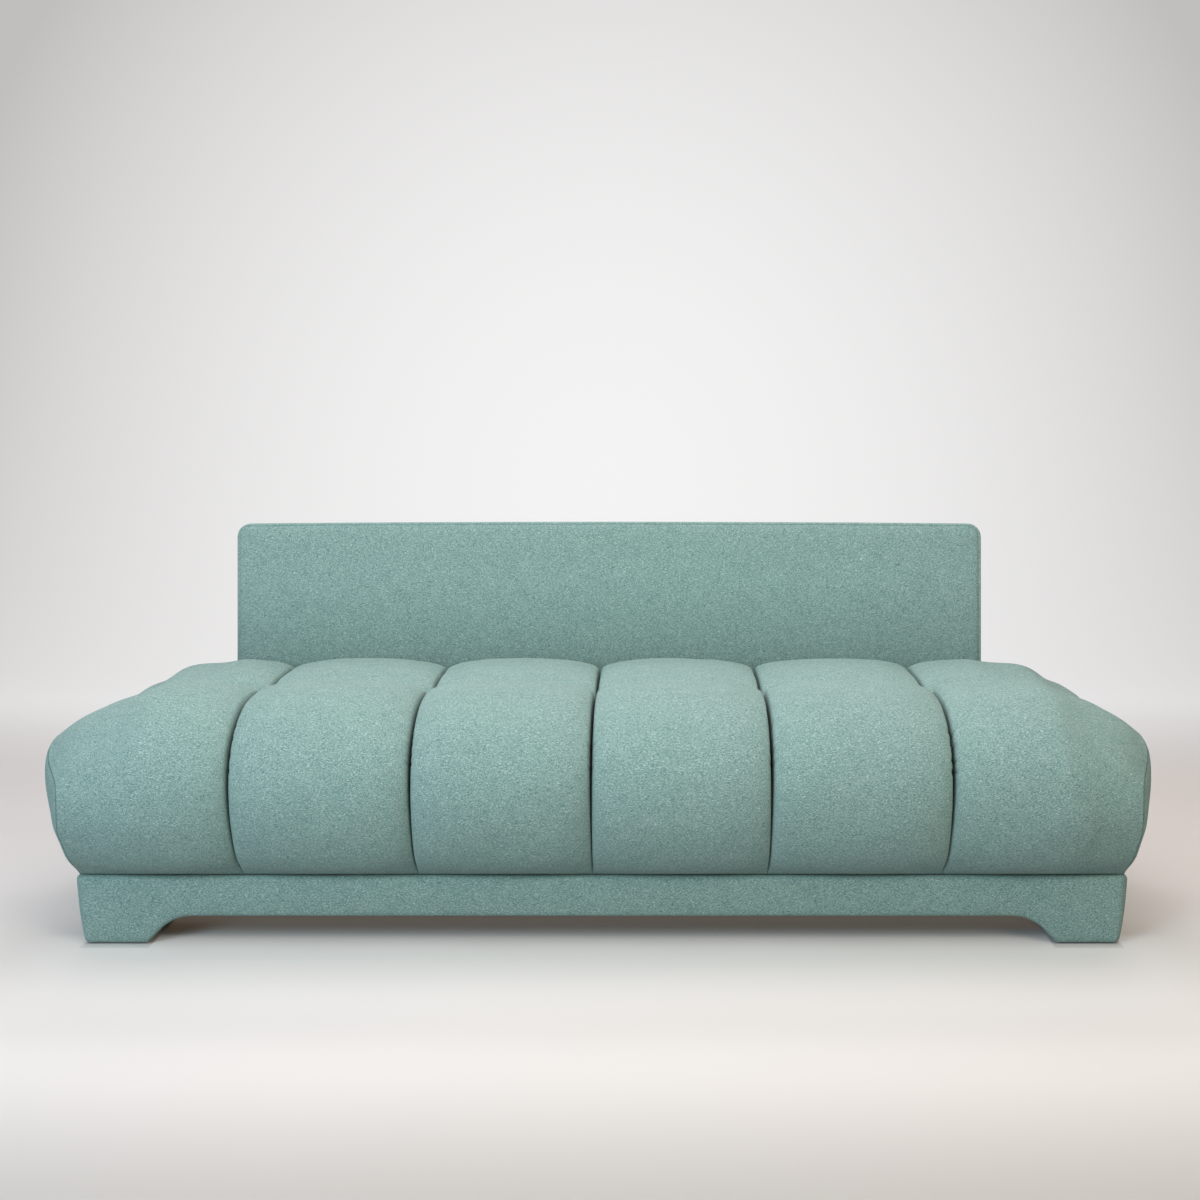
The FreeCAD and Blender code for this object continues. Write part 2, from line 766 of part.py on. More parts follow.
def hinge_arm():
    """The moving half: an eye on the pin and a tab screwed to a post of the back."""
    tab0 = slab_y(back_foam) + side_gap
    tab1 = tab0 + arm_tab_depth
    top = pivot_height + arm_reach
    right = V(0, hinge_y + eye_radius, pivot_height)
    edges = [
        arc(V(0, hinge_y - eye_radius, pivot_height),
            V(0, hinge_y, pivot_height - eye_radius), right),
        line(right, V(0, tab1, pivot_height + eye_radius)),
        line(V(0, tab1, pivot_height + eye_radius), V(0, tab1, top)),
        line(V(0, tab1, top), V(0, tab0, top)),
        line(V(0, tab0, top), V(0, tab0, pivot_height + eye_radius)),
        line(V(0, tab0, pivot_height + eye_radius), V(0, hinge_y - eye_radius, pivot_height)),
    ]
    arm = side_plate(arm_x, plate, edges)
    ends = [e for e in arm.Edges if abs(e.Length - plate) < running_clearance
            and abs(e.Vertexes[0].Z - top) < running_clearance]
    arm = arm.makeFillet(arm_tab_round, ends)
    return arm.cut(rod(pin_radius, V(arm_x, hinge_y, pivot_height), V(web_x, hinge_y, pivot_height)))


def ratchet_wheel():
    """A toothed wheel on the pin, with saw teeth that slope one way."""
    points = []
    for i in range(ratchet_teeth):
        start = 2 * math.pi * i / ratchet_teeth
        for radius, angle in ((ratchet_tip_radius, start), (ratchet_root_radius, start)):
            points.append(V(ratchet_x, hinge_y + radius * math.cos(angle),
                            pivot_height + radius * math.sin(angle)))
    wheel = polygon(points).extrude(V(ratchet_thickness, 0, 0))
    return wheel.cut(rod(pin_radius, V(ratchet_x, hinge_y, pivot_height),
                         V(pin_head_x, hinge_y, pivot_height)))


def hinge_pin():
    shank = rod(pin_radius, V(arm_x, hinge_y, pivot_height), V(pin_head_x, hinge_y, pivot_height))
    head = rod(pin_head_radius, V(pin_head_x, hinge_y, pivot_height), V(hinge_outer_x, hinge_y, pivot_height))
    return shank.fuse(head)


def pawl_box():
    """A closed housing on the fixed plate, under the ratchet, for the sprung pawl."""
    y1 = seat_rear_y + web_depth
    y0 = y1 - pawl_box_width
    z1 = pivot_height - ratchet_tip_radius - pawl_box_gap
    housing = box(web_x + plate, pin_head_x, y0, y1, z1 - pawl_box_height, z1)
    edges = [e for e in housing.Edges if e.Vertexes[0].X != e.Vertexes[1].X]
    return housing.makeChamfer(pawl_box_chamfer, edges)


def screw(start, direction, length):
    """A hexagon-head wood screw: start lies under the head, direction points into the wood."""
    shank = rod(screw_radius, start, start + direction * length)
    return shank.fuse(bolt_head(screw_head_width, screw_head, start, direction * -1))


def flange_screws():
    x = web_x + plate + (flange_width - plate) / 2
    y = seat_rear_y + plate
    heights = (flange_low + flange_screw_margin, flange_high - flange_screw_margin)
    near = [screw(V(x, y, z), V(0, -1, 0), screw_length) for z in heights]
    return near + [mirrored(s) for s in near]


def arm_screws():
    y = slab_y(back_foam) + side_gap + arm_tab_depth / 2
    x = arm_x + plate
    heights = (arm_screw_reach, arm_screw_reach + arm_screw_spacing)
    near = [screw(V(x, y, pivot_height + h), V(-1, 0, 0), screw_length) for h in heights]
    return near + [mirrored(s) for s in near]


# Leg frame


def leg_centre():
    """The leg's axis beside the upright slab."""
    return V(0, hinge_y + leg_back, pivot_height + leg_rise)


def leg_bracket():
    """A bent steel bracket on the slab's rear face, with two ears for the leg's pin."""
    c = leg_centre()
    rear = slab_y(slab_thickness)
    ear_in = leg_tube / 2 + side_gap
    ear_out = ear_in + leg_ear
    base = box(post_x - ear_out - leg_bracket_flange, post_x + ear_out + leg_bracket_flange,
               rear, rear + leg_ear, c.z - leg_bracket_height / 2, c.z + leg_bracket_height / 2)
    for start in (-ear_out, ear_in):
        cheek = box(post_x + start, post_x + start + leg_ear, rear, c.y,
                    c.z - leg_ear_radius, c.z + leg_ear_radius)
        tip = rod(leg_ear_radius, V(post_x + start, c.y, c.z), V(post_x + start + leg_ear, c.y, c.z))
        base = base.fuse(cheek.fuse(tip))
    bore = rod(leg_pin_radius, V(post_x - ear_out, c.y, c.z), V(post_x + ear_out, c.y, c.z))
    return base.removeSplitter().cut(bore)


def leg_pin():
    c = leg_centre()
    ear_out = leg_tube / 2 + side_gap + leg_ear
    a = V(post_x - ear_out, c.y, c.z)
    b = V(post_x + ear_out, c.y, c.z)
    step = V(leg_pin_head, 0, 0)
    return rod(leg_pin_radius, a, b).fuse([rod(leg_pin_head_radius, a - step, a),
                                           rod(leg_pin_head_radius, b, b + step)])


def bracket_screws():
    """Two screws in each bracket's foot, through the padding into the post."""
    c = leg_centre()
    y = slab_y(slab_thickness) + leg_ear
    offset = (leg_bracket_height / 2 + leg_ear_radius) / 2
    near = [screw(V(post_x, y, c.z + dz), V(0, -1, 0), leg_bracket_screw_length)
            for dz in (-offset, offset)]
    return near + [mirrored(s) for s in near]


def leg_frame():
    """A bent square steel tube that hangs straight down: two legs and a bar between their lower ends."""
    y = hinge_y + leg_rise * math.sin(lean) + leg_back * math.cos(lean)
    z = pivot_height + leg_rise * math.cos(lean) - leg_back * math.sin(lean)
    bar_z = z - leg_drop + leg_pad_wall + leg_tube / 2
    turn = V(post_x - leg_bend_radius, y, bar_z + leg_bend_radius)

    def upright_square(half):
        x0 = post_x - half
        x1 = post_x + half
        corners = [(x0, y - half), (x1, y - half), (x1, y + half), (x0, y + half)]
        return polygon([V(px, py, turn.z) for px, py in corners])

    section = upright_square(leg_tube / 2).cut(upright_square(leg_tube / 2 - leg_tube_wall))
    upright = section.extrude(V(0, 0, z + leg_top - turn.z))
    bend = section.revolve(turn, V(0, 1, 0), 90)
    end = section.copy()
    end.rotate(turn, V(0, 1, 0), 90)
    along = end.extrude(V(-2 * turn.x, 0, 0))
    bore = rod(leg_pin_radius + running_clearance, V(0, y, z), V(half_slab, y, z))
    right = [upright.cut(bore), bend]
    tube = along.fuse(right + [mirrored(piece) for piece in right])
    return tube, y, bar_z


def leg_pads(y, bar_z):
    """Plastic shoes clipped over the bar, near both legs."""
    x0 = leg_pad_inset - post_x
    x1 = x0 + leg_pad_length
    inner = leg_tube / 2
    outer = inner + leg_pad_wall
    block = box(x0, x1, y - outer, y + outer, bar_z - outer, bar_z + outer)
    edges = [e for e in block.Edges if e.Vertexes[0].X != e.Vertexes[1].X]
    block = block.makeFillet(leg_pad_round, edges)
    shoe = block.cut(box(x0 - overrun, x1 + overrun, y - inner, y + inner, bar_z - inner, bar_z + inner))
    return group([shoe, mirrored(shoe)])


# All pieces


def sofa_bed():
    pieces = {}
    rails = plinth_rails()
    pieces.update(rails)
    pieces["plinth_cover"] = plinth_cover(rails)
    pieces["plinth_cross_rails"] = plinth_cross_rails()
    pieces["plinth_corner_blocks"] = corner_blocks()
    pieces["plinth_dust_cover"] = dust_cover()
    pieces["frame_bolts"] = frame_bolts()
    pieces.update(glides())
    pieces.update(seat_rails())
    pieces["seat_batten"] = seat_batten()
    pieces["seat_cross_rails"] = seat_cross_rails(pieces["seat_batten"])
    pieces["seat_straps_across"] = seat_straps_across()
    pieces["seat_straps_along"] = seat_straps_along()
    pieces["seat_foam_core"] = seat_foam()
    screws = flange_screws()
    rear_holes = group(screws)
    pieces["seat_rear_rail"] = pieces["seat_rear_rail"].cut(rear_holes)
    pieces["seat_rear_cover"] = seat_rear_cover()
    pieces["hinge_flange_screws"] = rear_holes
    pieces.update(seat_channels())

    plate_right = hinge_plate().cut(rear_holes)
    pieces["hinge_plate_right"] = plate_right
    pieces["hinge_plate_left"] = mirrored(plate_right)
    pieces["hinge_pawl_box_right"] = pawl_box()
    pieces["hinge_pawl_box_left"] = mirrored(pawl_box())

    posts = group([back_post(-post_x), back_post(0), back_post(post_x)])
    bottom, top = back_rails()
    end = back_post(back_frame_half - back_board / 2)
    foam, panel, wadding = back_fillings()
    arm_holes = group(arm_screws())
    leg_holes = group(bracket_screws())
    upright = {
        "back_bottom_rail": bottom,
        "back_top_rail": top,
        "back_end_post_right": end,
        "back_end_post_left": mirrored(end),
        "back_middle_posts": posts.cut(arm_holes).cut(leg_holes),
        "back_straps": back_straps(),
        "back_foam": foam,
        "back_panel": panel.cut(leg_holes),
        "back_wadding": wadding.cut(leg_holes),
        "back_cover": back_cover().cut(leg_holes),
        "hinge_arm_screws": arm_holes,
        "hinge_pins": group([hinge_pin(), mirrored(hinge_pin())]),
        "leg_brackets": group([leg_bracket(), mirrored(leg_bracket())]).cut(leg_holes),
        "leg_bracket_screws": leg_holes,
        "leg_pins": group([leg_pin(), mirrored(leg_pin())]),
    }
    pairs = {
        "hinge_arm": hinge_arm().cut(arm_holes),
        "hinge_ratchet": ratchet_wheel(),
    }
    for name, shape in pairs.items():
        upright[name + "_right"] = shape
        upright[name + "_left"] = mirrored(shape)
    for name, shape in upright.items():
        pieces[name] = leaned(shape)

    frame, leg_y, bar_z = leg_frame()
    pieces["leg_frame"] = frame
    pieces["leg_pads"] = leg_pads(leg_y, bar_z)
    return pieces


os.makedirs("parts", exist_ok=True)
for name, shape in sofa_bed().items():
    shape.exportStep("parts/%s.step" % name)
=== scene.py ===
import math

import bmesh
import bpy
import numpy as np
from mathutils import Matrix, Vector, noise


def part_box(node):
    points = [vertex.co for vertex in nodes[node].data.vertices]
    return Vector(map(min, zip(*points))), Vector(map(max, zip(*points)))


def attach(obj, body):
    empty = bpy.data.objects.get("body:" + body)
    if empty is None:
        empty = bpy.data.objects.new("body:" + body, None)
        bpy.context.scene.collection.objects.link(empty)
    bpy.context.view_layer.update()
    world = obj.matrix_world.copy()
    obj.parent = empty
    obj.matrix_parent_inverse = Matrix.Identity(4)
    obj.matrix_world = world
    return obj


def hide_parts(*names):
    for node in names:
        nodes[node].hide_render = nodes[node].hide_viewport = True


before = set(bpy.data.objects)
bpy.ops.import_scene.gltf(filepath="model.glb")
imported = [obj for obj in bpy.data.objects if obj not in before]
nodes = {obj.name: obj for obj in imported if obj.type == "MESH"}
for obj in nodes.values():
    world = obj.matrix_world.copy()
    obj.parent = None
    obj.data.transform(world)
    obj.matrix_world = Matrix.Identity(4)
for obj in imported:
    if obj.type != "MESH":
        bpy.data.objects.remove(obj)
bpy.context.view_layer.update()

scene = bpy.context.scene


# Camera
# A long lens in front of the sofa, a little right of its middle and above its back, turned down towards the
# seat. The frame is shifted sideways, so that the sofa stands in the middle of the picture.
camera_data = bpy.data.cameras.new("camera")
camera_data.sensor_width = 36.0
camera_data.lens = 52.05
camera_data.shift_x = -0.0425


def add_object(name, data):
    """An object made of a mesh, a lamp or a camera, in the scene."""
    thing = bpy.data.objects.new(name, data)
    scene.collection.objects.link(thing)
    return thing


camera = add_object("camera", camera_data)
camera.location = (0.0936, -3.5545, 1.0)
camera.rotation_euler = (math.radians(84.08), 0, 0)
scene.camera = camera
scene.view_settings.view_transform = "Standard"


# Plinth boards, glue blocks and the seat's rails
# Planed softwood boards, glued and screwed. The grain is pale with darker yearly rings, and it runs along
# each board. Nothing is painted, as felt covers it all.


def linear(hex_colour):
    """An sRGB hex colour as linear red, green, blue and an alpha of one."""
    parts = [int(hex_colour[i:i + 2], 16) / 255 for i in (1, 3, 5)]
    return [c / 12.92 if c <= 0.04045 else ((c + 0.055) / 1.055) ** 2.4 for c in parts] + [1.0]


def add_node(tree, kind, settings={}, values={}, links={}):
    """Adds a node: its own settings, values for its inputs, and the sockets that feed its inputs."""
    node = tree.nodes.new(kind)
    for name, value in settings.items():
        setattr(node, name, value)
    for name, value in values.items():
        node.inputs[name].default_value = value
    for name, socket in links.items():
        tree.links.new(socket, node.inputs[name])
    return node


def new_material(name, values):
    """An empty material: its tree, its main shader with some values set, and its object coordinates."""
    material = bpy.data.materials.new(name)
    material.use_nodes = True
    tree = material.node_tree
    shader = tree.nodes["Principled BSDF"]
    for key, value in values.items():
        shader.inputs[key].default_value = value
    place = tree.nodes.new("ShaderNodeTexCoord").outputs["Object"]
    return material, tree, shader, place


def two_tone(tree, factor, low, high, dark, light):
    """Turns a grey pattern into a blend of two hex colours between the two given levels."""
    ramp = tree.nodes.new("ShaderNodeValToRGB")
    for element, position, colour in zip(ramp.color_ramp.elements, (low, high), (dark, light)):
        element.position = position
        element.color = linear(colour)
    tree.links.new(factor, ramp.inputs["Fac"])
    return ramp.outputs["Color"]


def dress(names, material):
    """Gives CAD nodes their finish."""
    for name in names:
        slots = nodes[name].data.materials
        slots.clear()
        slots.append(material)


# Softwood, planed: yearly rings about 5 mm apart, drawn out along the board.
pine, tree, shader, place = new_material("planed_softwood", {"Roughness": 0.62})
along = add_node(tree, "ShaderNodeMapping", values={"Scale": (0.25, 1, 1)}, links={"Vector": place})
bend = add_node(tree, "ShaderNodeTexNoise", values={"Scale": 6.0, "Detail": 2.0},
                links={"Vector": along.outputs["Vector"]})
shift = add_node(tree, "ShaderNodeVectorMath", {"operation": "MULTIPLY_ADD"}, {1: (0.06, 0.06, 0.06)},
                 {0: bend.outputs["Color"], 2: along.outputs["Vector"]})
rings = add_node(tree, "ShaderNodeTexWave", {"wave_type": "BANDS", "bands_direction": "DIAGONAL"},
                 {"Scale": 60.0, "Distortion": 1.5, "Detail": 2.0}, {"Vector": shift.outputs["Vector"]})
tree.links.new(two_tone(tree, rings.outputs["Fac"], 0.1, 0.95, "#b98f5c", "#e0c192"),
               shader.inputs["Base Color"])
bump = add_node(tree, "ShaderNodeBump", values={"Strength": 0.3, "Distance": 0.0004},
                links={"Height": rings.outputs["Fac"]})
tree.links.new(bump.outputs["Normal"], shader.inputs["Normal"])
dress(["plinth_front_rail", "plinth_rear_rail", "plinth_side_rail_left", "plinth_side_rail_right",
       "plinth_cross_rails", "plinth_corner_blocks", "seat_front_rail", "seat_rear_rail",
       "seat_side_rail_left", "seat_side_rail_right", "seat_batten", "seat_cross_rails",
       "back_bottom_rail", "back_top_rail", "back_end_post_left", "back_end_post_right",
       "back_middle_posts"], pine)


# Felt, for the cover of every padded part
# Boiled wool in several shades of teal, blended before it was felted, so that short pale and dark fibres
# lie in all directions. It is dull, with a soft bloom where it turns away from the eye.
felt, tree, shader, place = new_material("wool_felt", {"Roughness": 0.92, "Specular IOR Level": 0.25,
                                                       "Sheen Weight": 0.22, "Sheen Roughness": 0.45,
                                                       "Sheen Tint": linear("#dfeeec")})
# Fibres are some 20 micrometres thick. They are drawn as flecks of about 1 by 4 mm, which show.
# Curls some 15 mm long bend them a little.
curl = add_node(tree, "ShaderNodeTexNoise", values={"Scale": 70.0, "Detail": 1.0}, links={"Vector": place})
curled = add_node(tree, "ShaderNodeVectorMath", {"operation": "MULTIPLY_ADD"}, {1: (0.010, 0.010, 0.010)},
                  {0: curl.outputs["Color"], 2: place})
fleck = []
for turn, low, high in ((0.6, 0.53, 0.66), (-0.8, 0.54, 0.67), (0.1, 0.54, 0.67), (1.45, 0.54, 0.67)):
    turned = add_node(tree, "ShaderNodeMapping",
                      values={"Rotation": (0.5 * turn, turn, 0.7 * turn), "Scale": (0.28, 1, 1)},
                      links={"Vector": curled.outputs["Vector"]})
    fibre = add_node(tree, "ShaderNodeTexNoise", values={"Scale": 900.0, "Detail": 1.0, "Roughness": 0.5},
                     links={"Vector": turned.outputs["Vector"]})
    fleck.append(add_node(tree, "ShaderNodeMapRange", {"interpolation_type": "SMOOTHSTEP"},
                          {"From Min": low, "From Max": high}, {"Value": fibre.outputs["Fac"]}))
pale = add_node(tree, "ShaderNodeMath", {"operation": "MAXIMUM"},
                links={0: fleck[0].outputs["Result"], 1: fleck[1].outputs["Result"]})
dark = add_node(tree, "ShaderNodeMath", {"operation": "MAXIMUM"},
                links={0: fleck[2].outputs["Result"], 1: fleck[3].outputs["Result"]})
blotch = add_node(tree, "ShaderNodeTexNoise", values={"Scale": 42.0, "Detail": 3.0, "Roughness": 0.6},
                  links={"Vector": place})
ground = two_tone(tree, blotch.outputs["Fac"], 0.3, 0.7, "#80a49d", "#8db0a9")
paler = add_node(tree, "ShaderNodeMix", {"data_type": "RGBA"}, {7: linear("#dcefeb")}, {6: ground})
share = add_node(tree, "ShaderNodeMath", {"operation": "MULTIPLY"}, {1: 0.54},
                 {0: pale.outputs["Value"]})
tree.links.new(share.outputs["Value"], paler.inputs["Factor"])
darker = add_node(tree, "ShaderNodeMix", {"data_type": "RGBA"}, {7: linear("#416266")},
                  {6: paler.outputs[2]})
share = add_node(tree, "ShaderNodeMath", {"operation": "MULTIPLY"}, {1: 0.55}, {0: dark.outputs["Value"]})
tree.links.new(share.outputs["Value"], darker.inputs["Factor"])
# Shade is painted into the felt's colour, nearly black deep in a seam's cleft. Each piece stores where that
# is.
cleft = add_node(tree, "ShaderNodeAttribute", {"attribute_name": "cleft"})
seam = add_node(tree, "ShaderNodeMix", {"data_type": "RGBA"}, {7: linear("#0a1210")},
                {6: darker.outputs[2], "Factor": cleft.outputs["Fac"]})
tree.links.new(seam.outputs[2], shader.inputs["Base Color"])
height = add_node(tree, "ShaderNodeMath", {"operation": "SUBTRACT"},
                  links={0: pale.outputs["Value"], 1: dark.outputs["Value"]})
bump = add_node(tree, "ShaderNodeBump", values={"Strength": 0.4, "Distance": 0.0005},
                links={"Height": height.outputs["Value"]})
tree.links.new(bump.outputs["Normal"], shader.inputs["Normal"])


def new_piece(name, vertices, faces, material, body, stands_for, flat_faces=()):
    """Makes a closed mesh with its faces turned outwards, and lets it ride on its body."""
    mesh = bpy.data.meshes.new(name)
    mesh.from_pydata([tuple(v) for v in vertices], [], faces)
    mesh.polygons.foreach_set("use_smooth", [True] * len(mesh.polygons))
    for i in flat_faces:
        mesh.polygons[i].use_smooth = False
    form = bmesh.new()
    form.from_mesh(mesh)
    bmesh.ops.remove_doubles(form, verts=form.verts, dist=0.00002)
    bmesh.ops.dissolve_degenerate(form, edges=form.edges, dist=0.00002)
    bmesh.ops.recalc_face_normals(form, faces=form.faces)
    form.to_mesh(mesh)
    form.free()
    mesh.materials.append(material)
    piece = add_object(name, mesh)
    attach(piece, body)
    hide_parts(*stands_for)
    return piece


# Plinth cover
# The same felt over 20 mm of padding, wrapped round the boards and stapled under them. It follows the sawn
# bracket feet and leans in a little towards the floor. Its top edge is rolled and stands out a little.
plinth_half, plinth_front, plinth_rear = 1.0, -0.3245, 0.2721
plinth_middle, plinth_half_depth = (plinth_front + plinth_rear) / 2, (plinth_rear - plinth_front) / 2
plinth_top, foot_bottom, apron_bottom = 0.137, 0.003, 0.0565
foot_width, foot_slope, arch_run, corner_radius = 0.128, 0.020, 0.070, 0.018
draft, pad, board, lip = 0.0115, 0.020, 0.022, 0.003
stand_out, wall_bulge, roll_swell, wall_rows = 0.0033, 0.0034, 0.0020, 15
# The top edge's roll, from the boards outwards: distance in from the plinth's face, and depth below its top.
top_roll = ((pad, 0.0022), (0.0130, 0.0009), (0.0080, 0), (0.0040, 0.0002), (0.0005, 0.0014),
            (-0.0021, 0.0034), (-0.0037, 0.0060), (-0.0043, 0.0092))
# The lower edge's roll, from outside inwards: distance in from the wall, and height above the edge.
low_roll = ((0.0008, 0.0048), (0.0020, 0.0026), (0.0040, 0.0008), (0.0065, 0))
# The felt that is turned in under the boards, in the same way, but from the plinth's face.
turned_in = ((0.026, 0), (0.034, 0), (pad + board, 0), (pad + board, lip), (pad, lip))
below_top_roll, above_low_roll = 0.0135, 0.0075


def underside(reach, half):
    """Height of the cover's lower edge at a distance from the middle of a wall of that half length."""
    slope_end = half - foot_width - foot_slope
    low = foot_bottom + foot_slope
    rise = apron_bottom - low
    radius = (arch_run ** 2 + rise ** 2) / (2 * rise)
    over = np.clip(reach - (slope_end - arch_run), 0, arch_run)
    arch = apron_bottom - (radius - np.sqrt(radius ** 2 - over ** 2))
    return np.where(reach < slope_end, arch, np.clip(low - (reach - slope_end), foot_bottom, low))


first_place, wall_step, past_slope, before_corner = 0.004, 0.012, 0.003, 0.002
arch_places, foot_places, corner_places = 34, 14, 9


def wall_places(half):
    """Places along half a wall, close together where the edge below it turns."""
    foot = half - foot_width
    crest = foot - foot_slope - arch_run
    return np.concatenate([np.arange(first_place, crest, wall_step), np.linspace(crest, foot, arch_places),
                           np.linspace(foot + past_slope, half - corner_radius - before_corner, foot_places)])


def perimeter():
    """Points round the top of the plinth, with their outward directions and lower edges."""
    points, outward, low = [], [], []
    corner = np.linspace(0, math.pi / 2, corner_places)
    halves = (plinth_half_depth, plinth_half)
    for side in range(4):
        turn = side * math.pi / 2
        half, away = halves[side % 2], halves[1 - side % 2]
        rotate = np.array([[math.cos(turn), -math.sin(turn)], [math.sin(turn), math.cos(turn)]])
        right = wall_places(half)
        for reach in np.concatenate([-right[::-1], right]):
            points.append(rotate @ (away, reach))
            outward.append(rotate @ (1, 0))
            low.append(float(underside(abs(reach), half)))
        for angle in corner:
            way = np.array((math.cos(angle), math.sin(angle)))
            points.append(rotate @ (np.array((away, half)) - corner_radius + corner_radius * way))
            outward.append(rotate @ way)
            low.append(foot_bottom)
    return np.array(points), np.array(outward), np.array(low)


points, outward, low = perimeter()
section = [(np.full(len(low), inset), np.full(len(low), plinth_top - depth)) for inset, depth in top_roll]
for share in np.linspace(0, 1, wall_rows):
    z = (plinth_top - below_top_roll) * (1 - share) + (low + above_low_roll) * share
    section.append((draft * (plinth_top - z) / plinth_top - wall_bulge * math.sin(math.pi * share)
                    - stand_out - roll_swell * (1 - share) ** 5, z))
leaning = draft * (plinth_top - low) / plinth_top - stand_out
section += [(leaning + inset, low + up) for inset, up in low_roll]
section += [(np.full(len(low), inset), low + up) for inset, up in turned_in]
vertices = []
for inset, z in section:
    ring = points - outward * np.asarray(inset)[:, None]
    limit = np.array((plinth_half, plinth_half_depth)) - np.asarray(inset)[:, None]
    corner = (np.abs(points) > np.array((plinth_half, plinth_half_depth)) - corner_radius).all(1)
    past = corner & (np.asarray(inset) > corner_radius)
    ring = np.where(past[:, None], np.sign(points) * limit, np.clip(ring, -limit, limit))
    for (px, py), pz in zip(ring, z):
        vertices.append((px, py + plinth_middle, pz))
count, turns = len(points), len(section)
faces = [(r * count + c, r * count + (c + 1) % count,
          (r + 1) % turns * count + (c + 1) % count, (r + 1) % turns * count + c)
         for r in range(turns) for c in range(count)]
# The padding under the wall is a little uneven.
lump_height, lumps_per_metre = 0.0007, 14
for i in range(2 * count, (len(top_roll) + wall_rows + len(low_roll)) * count):
    lump = lump_height * noise.noise(Vector(vertices[i]) * lumps_per_metre)
    way = outward[i % count]
    vertices[i] = (vertices[i][0] + way[0] * lump, vertices[i][1] + way[1] * lump, vertices[i][2])
cover = new_piece("plinth_felt", vertices, faces, felt, "base", ["plinth_cover"])


# Glides, dust cloth and staples under the plinth
# Square black nylon glides, nailed under the feet. A black spun-bonded cloth closes the plinth from below;
# it is stapled every 45 mm and sags a little between the cross rails.


def patterned(name, values, kind, settings, inputs, levels, colours, relief=None):
    """A finish of one pattern: values for its shader, the texture, the two levels between which two
    colours blend, and for a relief its strength and its depth in metres."""
    material, tree, shader, place = new_material(name, values)
    texture = add_node(tree, kind, settings, inputs, {"Vector": place})
    grey = texture.outputs["Distance" if kind == "ShaderNodeTexVoronoi" else "Fac"]
    tree.links.new(two_tone(tree, grey, *levels, *colours), shader.inputs["Base Color"])
    if relief:
        bump = add_node(tree, "ShaderNodeBump", values={"Strength": relief[0], "Distance": relief[1]},
                        links={"Height": grey})
        tree.links.new(bump.outputs["Normal"], shader.inputs["Normal"])
    return material


nylon = patterned("black_nylon", {"Roughness": 0.45, "Base Color": linear("#161616")},
                  "ShaderNodeTexNoise", {}, {"Scale": 900.0, "Detail": 2.0}, (0.3, 0.7),
                  ("#131313", "#1e1e1e"), (0.25, 0.0002))
dress(["floor_glide_front_left", "floor_glide_front_right", "floor_glide_rear_left",
       "floor_glide_rear_right", "leg_pads"], nylon)

# Spun-bonded polypropylene: a web of fine threads with small welded dots, 1.5 mm apart.
spunbond = patterned("spunbond_cloth", {"Roughness": 0.8}, "ShaderNodeTexVoronoi", {"feature": "F1"},
                     {"Scale": 650.0}, (0.2, 0.6), ("#0d0d0e", "#232325"), (0.5, 0.0003))
low_corner, high_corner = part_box("plinth_dust_cover")
across, deep, cloth_gap = 120, 36, 0.0002
sag_depth, crease_height, sagging_past = 0.003, 0.0006, 0.0005
cloth_width, cloth_depth = high_corner.x - low_corner.x, high_corner.y - low_corner.y
vertices = []
for j in range(deep + 1):
    for i in range(across + 1):
        u, v = i / across, j / deep
        sag = sag_depth * abs(math.sin(4 * math.pi * u)) ** 0.7 * math.sin(math.pi * v) ** 0.7
        x, y = low_corner.x + u * cloth_width, low_corner.y + v * cloth_depth
        crease = crease_height * noise.noise(Vector((x * 9, y * 30, 0))) * (sag > sagging_past)
        vertices.append((x, y, high_corner.z - cloth_gap - sag + crease))


def grid_faces(start, rows, columns):
    """Quads over rows of points that are numbered from start."""
    return [(start + r * columns + c, start + r * columns + c + 1,
             start + (r + 1) * columns + c + 1, start + (r + 1) * columns + c)
            for r in range(rows - 1) for c in range(columns - 1)]


cloth = new_piece("dust_cloth", vertices, grid_faces(0, deep + 1, across + 1), spunbond, "base",
                  ["plinth_dust_cover"])

# Staples of flattened steel wire: one tree sets them along the cloth's edge, each turned a little.
steel_wire = patterned("staple_wire", {"Metallic": 1.0, "Roughness": 0.35}, "ShaderNodeTexNoise", {},
                       {"Scale": 800.0, "Detail": 2.0}, (0.3, 0.7), ("#8e9092", "#b9bbbd"))
tree = bpy.data.node_groups.new("staples_along_an_edge", "GeometryNodeTree")
tree.interface.new_socket("Edge", in_out="INPUT", socket_type="NodeSocketGeometry")
sizes = (("Spacing", 0.045), ("Width", 0.010), ("Wire", 0.0011), ("Turn", 0.12))
for name, value in sizes:
    tree.interface.new_socket(name, in_out="INPUT", socket_type="NodeSocketFloat")
tree.interface.new_socket("Staples", in_out="OUTPUT", socket_type="NodeSocketGeometry")
given = tree.nodes.new("NodeGroupInput")
path = add_node(tree, "GeometryNodeMeshToCurve", links={"Mesh": given.outputs["Edge"]})
spots = add_node(tree, "GeometryNodeCurveToPoints", {"mode": "LENGTH"},
                 links={"Curve": path.outputs["Curve"], "Length": given.outputs["Spacing"]})
left_half, right_half, half_wire, least_turn = (
    add_node(tree, "ShaderNodeMath", {"operation": "MULTIPLY"}, {1: share}, {0: given.outputs[name]})
    for name, share in (("Width", -0.5), ("Width", 0.5), ("Wire", 0.5), ("Turn", -1.0)))
leg_up, crown_down = 0.003, -0.0012
ends = [add_node(tree, "ShaderNodeCombineXYZ", values={"Z": up}, links={"X": side.outputs["Value"]})
        for side, up in ((left_half, leg_up), (left_half, crown_down),
                         (right_half, crown_down), (right_half, leg_up))]
